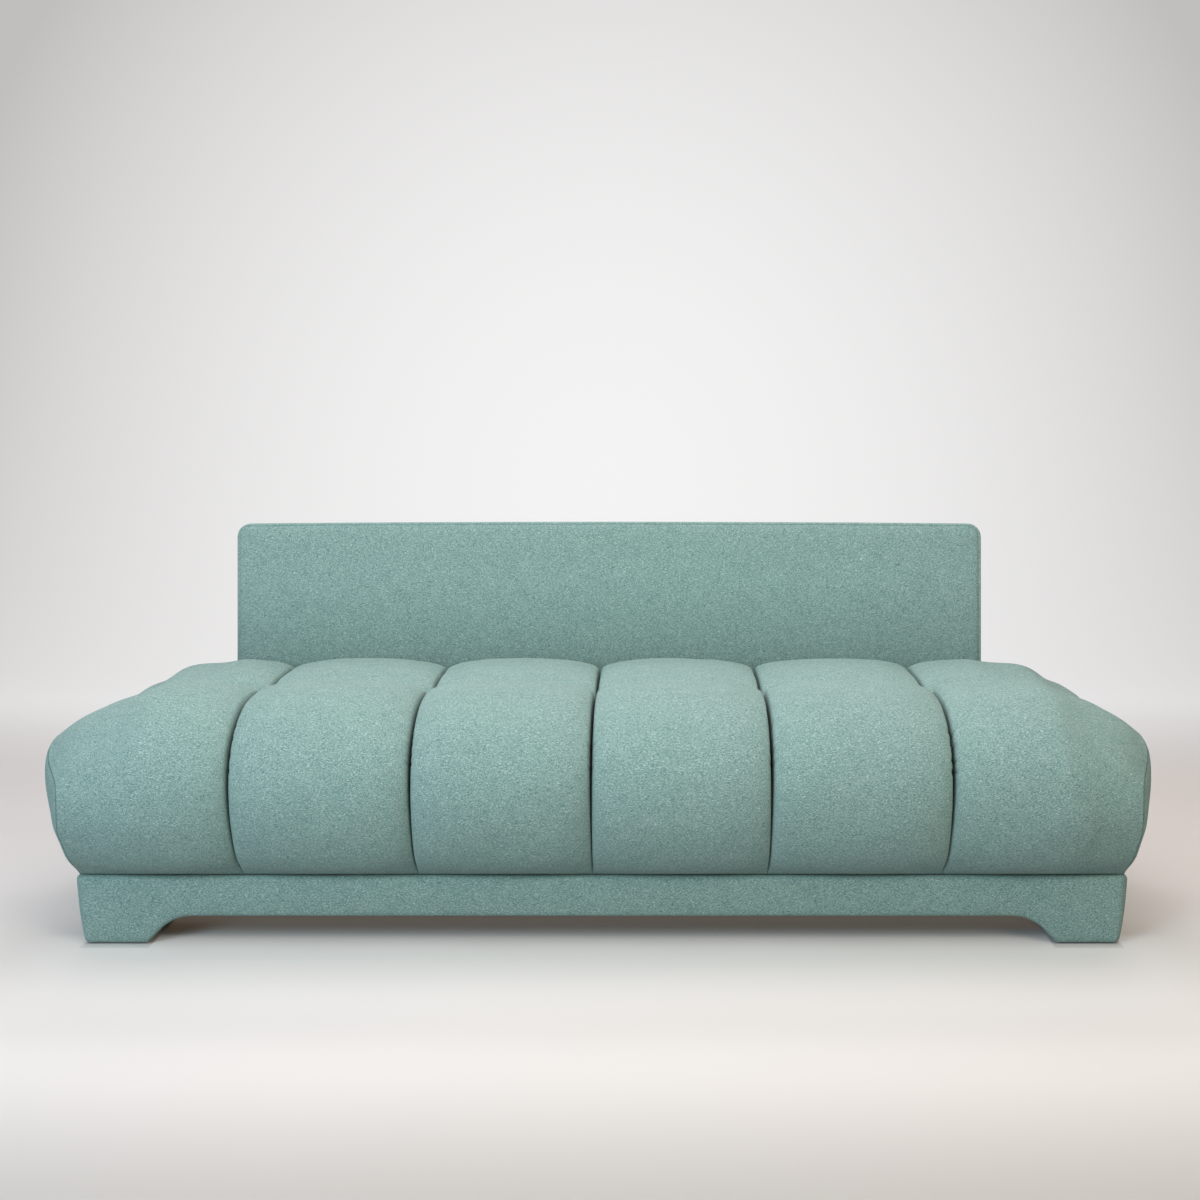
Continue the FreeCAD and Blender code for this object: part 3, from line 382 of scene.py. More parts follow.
wire = add_node(tree, "GeometryNodeCurvePrimitiveBezierSegment", {"mode": "POSITION"}, {"Resolution": 12},
                {"Start": ends[0].outputs["Vector"], "Start Handle": ends[1].outputs["Vector"],
                 "End Handle": ends[2].outputs["Vector"], "End": ends[3].outputs["Vector"]})
ring = add_node(tree, "GeometryNodeCurvePrimitiveCircle", values={"Resolution": 8},
                links={"Radius": half_wire.outputs["Value"]})
staple = add_node(tree, "GeometryNodeCurveToMesh", values={"Fill Caps": True},
                  links={"Curve": wire.outputs["Curve"], "Profile Curve": ring.outputs["Curve"]})
aim = add_node(tree, "FunctionNodeAlignRotationToVector", {"axis": "X", "pivot_axis": "Z"},
               links={"Vector": spots.outputs["Tangent"]})
askew = add_node(tree, "FunctionNodeRandomValue", {"data_type": "FLOAT"}, {"Seed": 4},
                 {2: least_turn.outputs["Value"], 3: given.outputs["Turn"]})
turn = add_node(tree, "FunctionNodeAxisAngleToRotation", values={"Axis": (0, 0, 1)},
                links={"Angle": askew.outputs[1]})
aim = add_node(tree, "FunctionNodeRotateRotation",
               links={"Rotation": aim.outputs["Rotation"], "Rotate By": turn.outputs["Rotation"]})
placed = add_node(tree, "GeometryNodeInstanceOnPoints",
                  links={"Points": spots.outputs["Points"], "Instance": staple.outputs["Mesh"],
                         "Rotation": aim.outputs["Rotation"]})
real = add_node(tree, "GeometryNodeRealizeInstances", links={"Geometry": placed.outputs["Instances"]})
clad = add_node(tree, "GeometryNodeSetMaterial", values={"Material": steel_wire},
                links={"Geometry": real.outputs["Geometry"]})
add_node(tree, "NodeGroupOutput", links={"Staples": clad.outputs["Geometry"]})

edge_in, staple_z = 0.008, high_corner.z - 0.0006
left_row, right_row = low_corner.x + edge_in, high_corner.x - edge_in
front_row, rear_row = low_corner.y + edge_in, high_corner.y - edge_in
outline = bpy.data.meshes.new("cloth_edge")
outline.from_pydata([(left_row, front_row, staple_z), (right_row, front_row, staple_z),
                     (right_row, rear_row, staple_z), (left_row, rear_row, staple_z)],
                    [(0, 1), (1, 2), (2, 3), (3, 0)], [])
staples = add_object("dust_cloth_staples", outline)
setting = staples.modifiers.new("staples", "NODES")
setting.node_group = tree
identifiers = {item.name: item.identifier for item in tree.interface.items_tree if item.in_out == "INPUT"}
for name, value in sizes:
    setting[identifiers[name]] = value


def settle(piece):
    """Makes what a piece's modifiers give its own mesh."""
    mesh = bpy.data.meshes.new_from_object(piece.evaluated_get(bpy.context.evaluated_depsgraph_get()))
    piece.modifiers.clear()
    piece.data = mesh


settle(staples)
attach(staples, "base")


# Seat webbing and foam
# Woven elastic webbing, stapled to the rails, carries a block of cream foam. Both lie inside the seat.
webbing = patterned("elastic_webbing", {"Roughness": 0.85}, "ShaderNodeTexWave", {"bands_direction": "Y"},
                    {"Scale": 320.0, "Distortion": 1.0}, (0.2, 0.8), ("#2a2622", "#5a534b"), (0.6, 0.0005))
dress(["seat_straps_across", "seat_straps_along", "back_straps"], webbing)

# Cut polyurethane foam: open cells under 1 mm, drawn as 2 mm.
foam = patterned("upholstery_foam", {"Roughness": 0.95}, "ShaderNodeTexVoronoi", {"feature": "F1"},
                 {"Scale": 500.0}, (0.1, 0.6), ("#cdbd8e", "#eadfb9"), (0.6, 0.0005))


def softened(name, node, width, steps, material, body):
    """A copy of a CAD node with merged faces and round edges, which stands for that node."""
    mesh = nodes[node].data.copy()
    form = bmesh.new()
    form.from_mesh(mesh)
    bmesh.ops.remove_doubles(form, verts=form.verts, dist=0.00001)
    bmesh.ops.dissolve_limit(form, angle_limit=math.radians(1), verts=form.verts, edges=form.edges)
    form.to_mesh(mesh)
    form.free()
    mesh.materials.clear()
    mesh.materials.append(material)
    piece = add_object(name, mesh)
    bevel = piece.modifiers.new("round", "BEVEL")
    bevel.width, bevel.segments, bevel.limit_method = width, steps, "ANGLE"
    bevel.harden_normals = True
    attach(piece, body)
    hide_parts(node)
    return piece


softened("seat_foam", "seat_foam_core", 0.004, 4, foam, "base")


# Seat channels
# Six plump channels of felt over wadding and soft foam, sewn side by side and drawn down once more across
# the seat. They swell over the plinth in front. The two end ones fall away to a seam round a side panel.
overhang, seat_depth, crown_rise, power = 0.097, 0.5966, 0.041, 2.4
seat_bottom, seam_span, skirt_gap = 0.1373, 0.319, 0.0003
# The seam's way from the plinth over the front to the back. Rows: shares of the overhang, of the depth and
# of the height above the plinth, then of the crown and of the cleft beside a seam. The last two are for the
# end channels: how much of their drop applies, and how far it follows the rear pillow's line.
profile = np.array((
    (-0.12, 0.000, 0.000, 0.00, 0.00, 1.00, 0.00), (0.10, 0.000, 0.060, 0.28, 0.02, 1.00, 0.00),
    (0.45, 0.000, 0.150, 0.63, 0.08, 1.00, 0.00), (0.80, 0.000, 0.330, 0.93, 0.25, 1.00, 0.00),
    (1.00, 0.000, 0.604, 1.00, 0.80, 1.00, 0.00), (0.88, 0.000, 0.746, 1.00, 1.00, 1.14, 0.00),
    (0.534, 0.000, 0.864, 1.00, 1.00, 1.27, 0.00), (0.146, 0.000, 0.931, 1.00, 1.00, 1.05, 0.00),
    (0.00, 0.0535, 0.9765, 1.00, 1.00, 0.83, 0.00), (0.00, 0.175, 0.998, 0.94, 1.00, 0.85, 0.00),
    (0.00, 0.270, 1.000, 0.82, 1.00, 0.87, 0.00), (0.00, 0.400, 0.965, 0.60, 0.80, 1.00, 0.35),
    (0.00, 0.530, 0.985, 0.70, 0.90, 0.90, 0.85), (0.00, 0.750, 0.995, 0.77, 1.00, 0.80, 1.00),
    (0.00, 0.920, 0.975, 0.62, 0.80, 0.82, 0.80), (0.00, 0.982, 0.905, 0.40, 0.30, 0.82, 0.30),
    (0.00, 0.985, 0.800, 0.22, 0.00, 0.82, 0.30), (0.00, 0.985, 0.676, 0.20, 0.00, 0.82, 0.30)))


def smooth_line(places, values, at):
    """Values at some places, on the natural cubic spline through the ones given."""
    x, y, at = np.asarray(places, float), np.asarray(values, float), np.asarray(at, float)
    h, size = np.diff(x), len(x)
    a, b = np.eye(size), np.zeros(size)
    for i in range(1, size - 1):
        a[i, i - 1:i + 2] = h[i - 1], 2 * (h[i - 1] + h[i]), h[i]
        b[i] = 6 * ((y[i + 1] - y[i]) / h[i] - (y[i] - y[i - 1]) / h[i - 1])
    m = np.linalg.solve(a, b)
    i = np.clip(np.searchsorted(x, at) - 1, 0, size - 2)
    t, s = at - x[i], x[i + 1] - at
    return ((m[i] * s ** 3 + m[i + 1] * t ** 3) / (6 * h[i])
            + (y[i] / h[i] - m[i] * h[i] / 6) * s + (y[i + 1] / h[i] - m[i + 1] * h[i] / 6) * t)


seam_y = plinth_front - profile[:, 0] * overhang + profile[:, 1] * seat_depth
seam_z = seat_bottom + profile[:, 2] * (seam_span - skirt_gap)
knots = np.concatenate([[0], np.cumsum(np.hypot(np.diff(seam_y), np.diff(seam_z)))])
crease_at, bulge_at = knots[11], knots[5]
# Rows of points lie 2 mm apart where the felt gathers, and 6 mm apart elsewhere.
fine_step, wide_step, fine_past = 0.002, 0.006, 0.06
trace = np.concatenate([np.arange(0, bulge_at - fine_past, wide_step),
                        np.arange(bulge_at - fine_past, crease_at + fine_past, fine_step),
                        np.arange(crease_at + fine_past, knots[-1], wide_step), knots[-1:]])
row_count = len(trace)
valley_y, valley_z = smooth_line(knots, seam_y, trace), smooth_line(knots, seam_z, trace)
raised, fullness, cleft_share, drop_share, rear_share = (smooth_line(knots, profile[:, i], trace)
                                                         for i in (2, 3, 4, 5, 6))
slope_y, slope_z = np.gradient(valley_y, trace), np.gradient(valley_z, trace)
length = np.hypot(slope_y, slope_z)
normal_y, normal_z = -slope_z / length, slope_y / length


def crown(share):
    """Height of a stuffed channel at a share of its half width, from 1 in the middle to 0 at a seam."""
    return (1 - np.minimum(np.abs(share), 1) ** power) ** (1 / power)


def gathers(seam_number, from_seam):
    """How far the felt is drawn in beside a seam: short folds with puffed sides, which run away from it."""
    generator = np.random.default_rng(70 + seam_number)
    places = bulge_at + np.cumsum(generator.uniform(0.014, 0.036, 4)) - 0.040
    places = np.concatenate([places, crease_at + np.array((-0.030, 0.014, 0.027))])
    depths = generator.uniform(0.0014, 0.0030, len(places))
    widths = generator.uniform(0.0032, 0.0050, len(places))
    reaches = generator.uniform(0.008, 0.022, len(places))
    slants = generator.uniform(0.1, 0.9, len(places)) * np.where(places > crease_at, -1, 1)
    drawn = np.zeros((row_count, len(from_seam)))
    for place, depth, width, reach, slant in zip(places, depths, widths, reaches, slants):
        off = (trace[:, None] - place - slant * from_seam[None, :]) / (width + 0.12 * from_seam[None, :])
        fold = (1 - 0.6 * off ** 2) * np.exp(-off ** 2 / 1.6)
        drawn += depth * fold * np.exp(-(from_seam / reach)[None, :])
    return drawn


def lumps(x, y, z, size, height):
    """Gentle unevenness of hand-stuffed padding."""
    points = zip(x.flat, y.flat, z.flat)
    return height * np.array([noise.noise(Vector(p) / size) for p in points]).reshape(x.shape)


# The crease's depth and half width, each with what it gains beside a seam.
crease_depth, crease_deepening, crease_radius, crease_widening = 0.016, 0.015, 0.050, 0.006
# The narrow cleft that the stitches pull beside each seam.
cleft_depth, cleft_width, cleft_widening = 0.030, 0.0009, 0.0014
free_of_seam, held_by_stitch, held_by_foot, past_rear = 0.03, 0.0040, 0.035, 0.002


def skin(x, share, lift, drop, from_left, from_right, seams):
    """The felt of one channel as rows of points, front edge first, and how deep each lies in a cleft."""
    out = crown_rise * fullness[:, None] * lift[None, :]
    # The crease between the front and the rear pillow: both roll down to it, deeper beside the seams.
    near = np.abs(share)[None, :] ** 4
    away = np.clip(np.abs(trace - crease_at)[:, None] / (crease_radius + crease_widening * near), 0, 1)
    out = out - (crease_depth + crease_deepening * near) * (1 - np.sqrt(1 - (1 - away) ** 2))
    beside = np.minimum(from_left, from_right)
    wide = cleft_width + cleft_widening * cleft_share[:, None]
    cleft = cleft_share[:, None] * np.exp(-(beside[None, :] / wide) ** 2)
    out = out - cleft_depth * cleft
    y = valley_y[:, None] + normal_y[:, None] * out
    z = valley_z[:, None] + normal_z[:, None] * out - drop * crown_rise * raised[:, None] ** 2
    along = [np.gradient(a, axis=0) for a in (x, y, z)]
    across = [np.gradient(a, axis=1) for a in (x, y, z)]
    outward = np.cross(np.stack(across, -1), np.stack(along, -1))
    outward = outward / np.linalg.norm(outward, axis=-1, keepdims=True)
    uneven = lumps(x, y, z, size=0.11, height=0.0022) + lumps(x, y, z, size=0.035, height=0.0008)
    move = np.clip(beside / free_of_seam, 0, 1) * uneven
    for number, off in zip(seams, (from_left, from_right)):
        if number:
            move = move - gathers(number, off)
    move = move * np.clip(beside / held_by_stitch, 0, 1) * np.clip((z - seat_bottom) / held_by_foot, 0, 1)
    x, y, z = x + outward[..., 0] * move, y + outward[..., 1] * move, z + outward[..., 2] * move
    return x, np.minimum(y, plinth_rear + past_rear), np.maximum(z, seat_bottom), cleft


def paint_cleft_shade(piece, x, y, z, cleft):
    """Stores on each vertex how deep it lies in the cleft of a seam, where hardly any light gets; the felt's
    colour is darkened there as painted shade.
    """
    deep = {(round(a, 4), round(b, 4), round(c, 4)): d
            for a, b, c, d in zip(x.flat, y.flat, z.flat, cleft.flat)}
    store = piece.data.attributes.new("cleft", "FLOAT", "POINT")
    for item, vertex in zip(store.data, piece.data.vertices):
        item.value = deep.get(tuple(round(c, 4) for c in vertex.co), 0.0)


# The hollow under the felt: the frame's front and the foam core's round top edge.
to_core, core_top, core_round = 0.0347, 0.3493, 0.030
core_front = plinth_front + to_core
hollow = [(core_front, seat_bottom)]
hollow += [(core_front + core_round * (1 - math.cos(a)), core_top - core_round * (1 - math.sin(a)))
           for a in np.linspace(0, math.pi / 2, 7)]
hollow += [(plinth_rear, core_top)]


def line_hollow(vertices, faces, sides, columns):
    """Adds the felt's inner skin over the hollow, between its two sides, and the wall at the first side."""
    start, bends = len(vertices), len(hollow)
    vertices += [(side, hy, hz) for side in sides for hy, hz in hollow]
    faces += grid_faces(start, 2, bends)
    first = [r * columns for r in range(row_count)]
    faces.append(first + [start + i for i in reversed(range(bends))])
    return start, bends, first


channel, seam_shift, half_seam, column_count = 1 / 3, -0.017, 0.0003, 72
ease = np.sin(np.linspace(-math.pi / 2, math.pi / 2, column_count + 1))
for number in range(2, 6):
    left = channel * (number - 4) + seam_shift + half_seam
    right = left + channel - 2 * half_seam
    half = (right - left) / 2
    x = np.repeat((left + half * (1 + ease))[None, :], row_count, 0)
    x, y, z, cleft = skin(x, ease, crown(ease), 0, x[0] - left, right - x[0], (number - 1, number))
    x = np.clip(x, left, right)
    columns = len(ease)
    vertices = list(zip(x.flat, y.flat, z.flat))
    faces = grid_faces(0, row_count, columns)
    flat = len(faces)
    inner, bends, first = line_hollow(vertices, faces, (left, right), columns)
    faces.append([i + columns - 1 for i in first] + [inner + bends + i for i in reversed(range(bends))])
    faces.append(list(range(columns)) + [inner + bends, inner])
    faces.append([first[-1] + c for c in range(columns)] + [inner + 2 * bends - 1, inner + bends - 1])
    piece = new_piece("seat_felt_%d" % number, vertices, faces, felt, "base",
                      ["seat_channel_%d" % number], range(flat, len(faces)))
    paint_cleft_shade(piece, x, y, z, cleft)

# The end channels. Rows: share of the way from the crown's middle to the side seam, crown and drop there;
# the rear pillows drop along a line of their own.
shoulder = np.array(((-0.28, 0.93, 0.436), (0.00, 1.00, 0.000), (0.28, 0.93, 0.436), (0.52, 0.66, 0.665),
                     (0.74, 0.45, 0.950), (0.90, 0.29, 1.370), (1.00, 0.18, 1.750)))
rear_line = np.array(((-0.28, 0.00), (0.00, 0.25), (0.14, 0.31), (0.28, 0.34), (0.42, 0.43), (0.52, 0.66),
                      (0.62, 0.93), (0.80, 1.18), (1.00, 1.75)))
side_line = np.array(((0.00, 0.00), (0.20, 0.04), (0.45, 0.44), (0.70, 1.12), (0.86, 0.94), (1.2, 0.90)))
plan_line = np.array(((-0.1455, -0.20), (-0.0922, 0.14), (-0.0243, 0.89), (0.0716, 0.81), (0.6264, 0.92)))


def end_reach(y, z, bulge):
    """How far the seat's end stands out from its middle at a point of its side."""
    up = np.clip((z - seat_bottom) / seam_span, 0, 1.2)
    side = smooth_line(side_line[:, 0], side_line[:, 1], up)
    plan = smooth_line(plan_line[:, 0], plan_line[:, 1], np.clip(y - plinth_front, -0.15, 0.62))
    soft = 0.06
    lower = np.minimum(side, plan) - soft * np.exp(-np.abs(side - plan) / soft) / 2
    return plinth_half + bulge * np.where(up < 0.02, side, lower)


outer_count, panel_rows = 60, 36
# The side seam lies a little inside the end. Past it the panel puffs out, and shade is painted along the seam
# as a dark line.
side_seam_in, panel_puff, puff_reach = 0.0035, 0.0075, 0.010
groove_depth, groove_width, painted_line_shade, line_shade_width = 0.0020, 0.003, 0.75, 0.0014
foot_tuck, tuck_height, puff_height, past_side_seam = 0.0030, 0.010, 0.05, 0.014
for number, way, bulge, fall in ((1, -1, 0.0457, 0.98), (6, 1, 0.0326, 0.93)):
    middle = plinth_half - channel / 2
    seam = abs(way * 2 * channel + seam_shift) + half_seam
    inner_share = ease[:column_count // 2]
    outer_share = np.sin(np.linspace(0, math.pi / 2, outer_count + 1))
    share = np.concatenate([inner_share, outer_share])
    lift = np.concatenate([crown(inner_share), smooth_line(shoulder[:, 0], shoulder[:, 1], outer_share)])
    front_drop = smooth_line(shoulder[:, 0], shoulder[:, 2], np.clip(share, 0, 1))
    rear_drop = smooth_line(rear_line[:, 0], rear_line[:, 1], np.clip(share, -0.28, 1))
    drop = fall * drop_share[:, None] * (front_drop + rear_share[:, None] * (rear_drop - front_drop))
    edge_out = crown_rise * fullness * lift[-1]
    edge_y = valley_y + normal_y * edge_out
    edge_z = valley_z + normal_z * edge_out - drop[:, -1] * crown_rise * raised ** 2
    reach = end_reach(edge_y, np.maximum(edge_z, seat_bottom), bulge) - side_seam_in
    x = np.concatenate([np.repeat((middle + inner_share * (middle - seam))[None, :], row_count, 0),
                        middle + outer_share[None, :] * (reach - middle)[:, None]], 1)
    from_seam = x[row_count // 3] - seam
    from_edge = x[row_count // 3][-1] - x[row_count // 3] + past_side_seam
    x, y, z, cleft = skin(x, share, lift, drop, from_seam, from_edge, (1 if way < 0 else 5, 0))
    x = np.maximum(x, seam)
    # Painted shade: a dark line along the side seam, on the channel's felt.
    seam_line_shade = painted_line_shade * np.exp(-((x[:, -1:] - x) / line_shade_width) ** 2) * (share > 0.5)
    cleft = np.maximum(cleft, seam_line_shade)
    columns = x.shape[1]
    vertices = list(zip(x.flat, y.flat, z.flat))
    faces = grid_faces(0, row_count, columns)
    # Side panel, from the seam down to the plinth.
    base_y = seam_y[0] + (plinth_rear - seam_y[0]) * (trace / trace[-1]) ** 1.3
    down = 1 - np.cos(np.linspace(0, math.pi / 2, panel_rows + 1))[1:]
    panel_y = y[:, -1:] * (1 - down) + base_y[:, None] * down
    panel_z = z[:, -1:] * (1 - down) + seat_bottom * down
    away = np.hypot(panel_y - y[:, -1:], panel_z - z[:, -1:])
    puff = panel_puff * (1 - np.exp(-away / puff_reach))
    puff = puff * np.clip((panel_z - seat_bottom) / puff_height, 0, 1)
    panel_x = end_reach(panel_y, panel_z, bulge) - side_seam_in + puff
    panel_x = panel_x - groove_depth * np.exp(-(away / groove_width) ** 2)
    panel_x = panel_x - foot_tuck * np.clip(1 - (panel_z - seat_bottom) / tuck_height, 0, 1)
    start = len(vertices)
    vertices += list(zip(panel_x.flat, panel_y.flat, panel_z.flat))
    strips = [[r * columns + columns - 1] + [start + r * panel_rows + c for c in range(panel_rows)]
              for r in range(row_count)]
    for upper, lower in zip(strips, strips[1:]):
        faces += [(upper[c], upper[c + 1], lower[c + 1], lower[c]) for c in range(panel_rows)]
    flat = len(faces)
    wall = plinth_half - to_core
    inner, bends, first = line_hollow(vertices, faces, (seam, wall), columns)
    vertices.append((wall, plinth_rear, seat_bottom))
    faces.append([inner + bends + i for i in range(bends)] + [inner + 2 * bends])
    base = [start + r * panel_rows + panel_rows - 1 for r in range(row_count)]
    faces.append(list(range(columns)) + base[1:] + [inner + 2 * bends, inner + bends, inner])
    last = [start + (row_count - 1) * panel_rows + c for c in range(panel_rows)]
    faces.append([first[-1] + c for c in range(columns)] + last
                 + [inner + 2 * bends, inner + 2 * bends - 1, inner + bends - 1])
    vertices = [(way * px, py, pz) for px, py, pz in vertices]
    piece = new_piece("seat_felt_%d" % number, vertices, faces, felt, "base",
                      ["seat_channel_%d" % number], range(flat, len(faces)))
    # The side panel gets the same painted shade line beside its seam.
    paint_cleft_shade(piece, np.concatenate([way * x, way * panel_x], 1), np.concatenate([y, panel_y], 1),
           np.concatenate([z, panel_z], 1),
           np.concatenate([cleft, painted_line_shade * np.exp(-(away / line_shade_width) ** 2)], 1))


# Rear of the seat
# Felt drawn over thin hardboard and nailed to the rear rail, notched round the hinges' flanges. Its ends and
# its lower edge are tucked behind the end channels and the plinth's felt.
rear_felt = softened("seat_rear_felt", "seat_rear_cover", 0.0012, 3, felt, "base")
low_corner, high_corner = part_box("seat_rear_cover")
tucked_sideways, tucked_down, at_edge = 0.006, 0.002, 0.001
for vertex in rear_felt.data.vertices:
    if abs(vertex.co.x) > high_corner.x - at_edge:
        vertex.co.x += math.copysign(tucked_sideways, vertex.co.x)
    if vertex.co.z < low_corner.z + at_edge:
        vertex.co.z -= tucked_down


# Hinges
# Two ratchet hinges of 4 mm pressed steel, zinc plated, with hardened ratchet wheels on their pins. The
# plating is dull silver with faint cloudy patches; pins, screws and bolts are brighter.
zinc, tree, shader, place = new_material("zinc_plated_steel", {"Metallic": 1.0, "Roughness": 0.38})
cloud = add_node(tree, "ShaderNodeTexNoise", values={"Scale": 60.0, "Detail": 4.0}, links={"Vector": place})
tree.links.new(two_tone(tree, cloud.outputs["Fac"], 0.35, 0.65, "#a5a8ab", "#c9cbcc"),
               shader.inputs["Base Color"])
rough = add_node(tree, "ShaderNodeMapRange", values={"To Min": 0.28, "To Max": 0.5},
                 links={"Value": cloud.outputs["Fac"]})
tree.links.new(rough.outputs["Result"], shader.inputs["Roughness"])
dress(["hinge_plate_left", "hinge_plate_right", "hinge_arm_left", "hinge_arm_right", "hinge_ratchet_left",
       "hinge_ratchet_right", "hinge_pawl_box_left", "hinge_pawl_box_right"], zinc)

bright = patterned("bright_steel", {"Metallic": 1.0, "Roughness": 0.25}, "ShaderNodeTexNoise", {},
                   {"Scale": 500.0, "Detail": 2.0}, (0.3, 0.7), ("#9b9d9f", "#c2c4c6"))
dress(["frame_bolts", "hinge_flange_screws", "hinge_arm_screws", "hinge_pins", "leg_bracket_screws",
       "leg_pins"], bright)


# Back
# A slab of a wooden frame, webbing and foam in a boxed felt cover: a front panel, a strip all round and a
# rear panel, with plain seams just inside the edges. Two slots in its bottom let the hinges in.
hinge_y, hinge_z, lean = 0.318101, 0.426, math.radians(6)
slab_half, slab_height, slab_depth, slab_round = 0.83333, 0.356, 0.120, 0.031
slab_front, slab_bottom = hinge_y - 0.036, hinge_z - 0.014


def slab_to_world(x, d, h):
    """A point of the leaning slab, from its place along, behind its front and above its bottom."""
    dy, dz = slab_front + d - hinge_y, slab_bottom + h - hinge_z
    return (x, hinge_y + math.cos(lean) * dy + math.sin(lean) * dz,
            hinge_z - math.sin(lean) * dy + math.cos(lean) * dz)


def world_to_slab(x, y, z):
    """The place of a point along the slab, behind its front and above its bottom."""
    dy, dz = y - hinge_y, z - hinge_z
    return (x, math.cos(lean) * dy - math.sin(lean) * dz + hinge_y - slab_front,
            math.sin(lean) * dy + math.cos(lean) * dz + hinge_z - slab_bottom)


def graded(low, high, fine, step):
    """Places from low to high: close together near both ends, as fine lists them, and even between."""
    fine = np.asarray(fine)
    between = np.linspace(low + fine[-1], high - fine[-1], int((high - low) / step))
    return np.concatenate([low + fine[:-1], between, (high - fine[:-1])[::-1]])


edge = (0, 0.0012, 0.0026, 0.0045, 0.007, 0.010, 0.014, 0.020, 0.028, 0.038)
xs = graded(-slab_half, slab_half, edge, 0.011)
hs = graded(0, slab_height, edge, 0.011)
ds = graded(0, slab_depth, edge[:9], 0.010)
index, vertices, faces = {}, [], []


def corner(i, j, k):
    """The number of the vertex at three grid places."""
    if (i, j, k) not in index:
        index[i, j, k] = len(vertices)
        vertices.append((xs[i], ds[j], hs[k]))
    return index[i, j, k]


ni, nj, nk = len(xs) - 1, len(ds) - 1, len(hs) - 1
for i in range(ni):
    for k in range(nk):
        for j in (0, nj):
            faces.append([corner(i, j, k), corner(i + 1, j, k), corner(i + 1, j, k + 1), corner(i, j, k + 1)])
    for j in range(nj):
        for k in (0, nk):
            faces.append([corner(i, j, k), corner(i + 1, j, k), corner(i + 1, j + 1, k), corner(i, j + 1, k)])
for j in range(nj):
    for k in range(nk):
        for i in (0, ni):
            faces.append([corner(i, j, k), corner(i, j + 1, k), corner(i, j + 1, k + 1), corner(i, j, k + 1)])
grid = np.array(vertices)
x, d, h = grid[:, 0].copy(), grid[:, 1].copy(), grid[:, 2].copy()
seam_inset, stitch_inset, stitch_width = 0.0062, 0.0012, 0.0013
front_swell, rear_swell, panel_draw, panel_draw_reach = 0.0075, 0.0035, 0.0050, 0.0085
strip_draw, strip_draw_reach, strip_round, stitch_depth = 0.0050, 0.004, 0.0055, 0.0014
to_edge = np.minimum.reduce([slab_half - np.abs(x), h, slab_height - h])
face_side = np.where(d < 0.00001, 1, np.where(d > slab_depth - 0.00001, -1, 0))
# Panels: drawn back at the seam, then crowned towards the middle.
crowned = 1 - np.abs(x / slab_half) ** 6
crowned = crowned * (1 - np.abs(2 * h / slab_height - 1) ** 2.6)
swell = np.where(face_side > 0, front_swell, rear_swell) * np.clip(crowned, 0, 1)
drawn = panel_draw * np.exp(-to_edge / panel_draw_reach)
drawn += stitch_depth * np.exp(-(to_edge / stitch_width) ** 2)
depth_shift = np.where(face_side != 0, drawn - swell, 0)
# Strip: bulges out between its two seams; the seams lie inset.
strip_edge = np.minimum(d, slab_depth - d)
inset = seam_inset * np.exp(-strip_edge / strip_round)
inset += stitch_inset * np.exp(-(strip_edge / stitch_width) ** 2)
strip_depth = np.where(face_side == 0, strip_draw * np.exp(-strip_edge / strip_draw_reach), 0.0)
depth = d + np.where(face_side > 0, depth_shift, np.where(face_side < 0, -depth_shift, 0))
depth += np.where((face_side == 0) & (d < slab_depth / 2), strip_depth, 0)
depth -= np.where((face_side == 0) & (d >= slab_depth / 2), strip_depth, 0)
shrink = np.where(face_side != 0, seam_inset + stitch_inset * np.exp(-(to_edge / stitch_width) ** 2), inset)
px = x * (slab_half - shrink) / slab_half
ph = slab_height / 2 + (h - slab_height / 2) * (slab_height / 2 - shrink) / (slab_height / 2)
# Round corners seen from the front.
core_x, core_h = slab_half - slab_round, slab_height / 2 - slab_round
vx, vh = np.clip(np.abs(px) - core_x, 0, None), np.clip(np.abs(ph - slab_height / 2) - core_h, 0, None)
both = (vx > 0) & (vh > 0)
squeeze = np.where(both, np.maximum(vx, vh) / np.maximum(np.hypot(vx, vh), 1e-9), 1)
px = np.where(both, np.sign(px) * (core_x + vx * squeeze), px)
ph = np.where(both, slab_height / 2 + np.sign(ph - slab_height / 2) * (core_h + vh * squeeze), ph)
# The top edge rises a little towards its middle.
end_rise, middle_rise = 0.0015, 0.0040
ph = ph + (end_rise + middle_rise * (1 - (px / slab_half) ** 2)) * (ph / slab_height)
held_by_edge = 0.04
soft = lumps(px, depth, ph, size=0.16, height=0.0016) * np.clip(to_edge / held_by_edge, 0, 1)
depth = depth - soft * (face_side != 0)
world = [slab_to_world(*place) for place in zip(px, depth, ph)]
back = new_piece("back_felt", world, faces, felt, "back", ["back_cover"])

pin_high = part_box("hinge_pins")[1]
slot_out, slot_in, slot_reach, slot_top, slot_low = pin_high.x + 0.002, 0.585, 0.030, 0.044, -0.03
for way in (-1, 1):
    cutter = bpy.data.meshes.new("slot")
    form = bmesh.new()
    bmesh.ops.create_cube(form, size=1.0)
    for vertex in form.verts:
        vertex.co = slab_to_world(way * (slot_in if vertex.co.x < 0 else slot_out),
                                  hinge_y - slab_front + slot_reach * (1 if vertex.co.y > 0 else -1),
                                  slot_top if vertex.co.z > 0 else slot_low)
    bmesh.ops.recalc_face_normals(form, faces=form.faces)
    form.to_mesh(cutter)
    form.free()
    tool = add_object("slot", cutter)
    cut = back.modifiers.new("slot", "BOOLEAN")
    cut.object, cut.operation, cut.solver = tool, "DIFFERENCE", "EXACT"
    settle(back)
    bpy.data.objects.remove(tool)
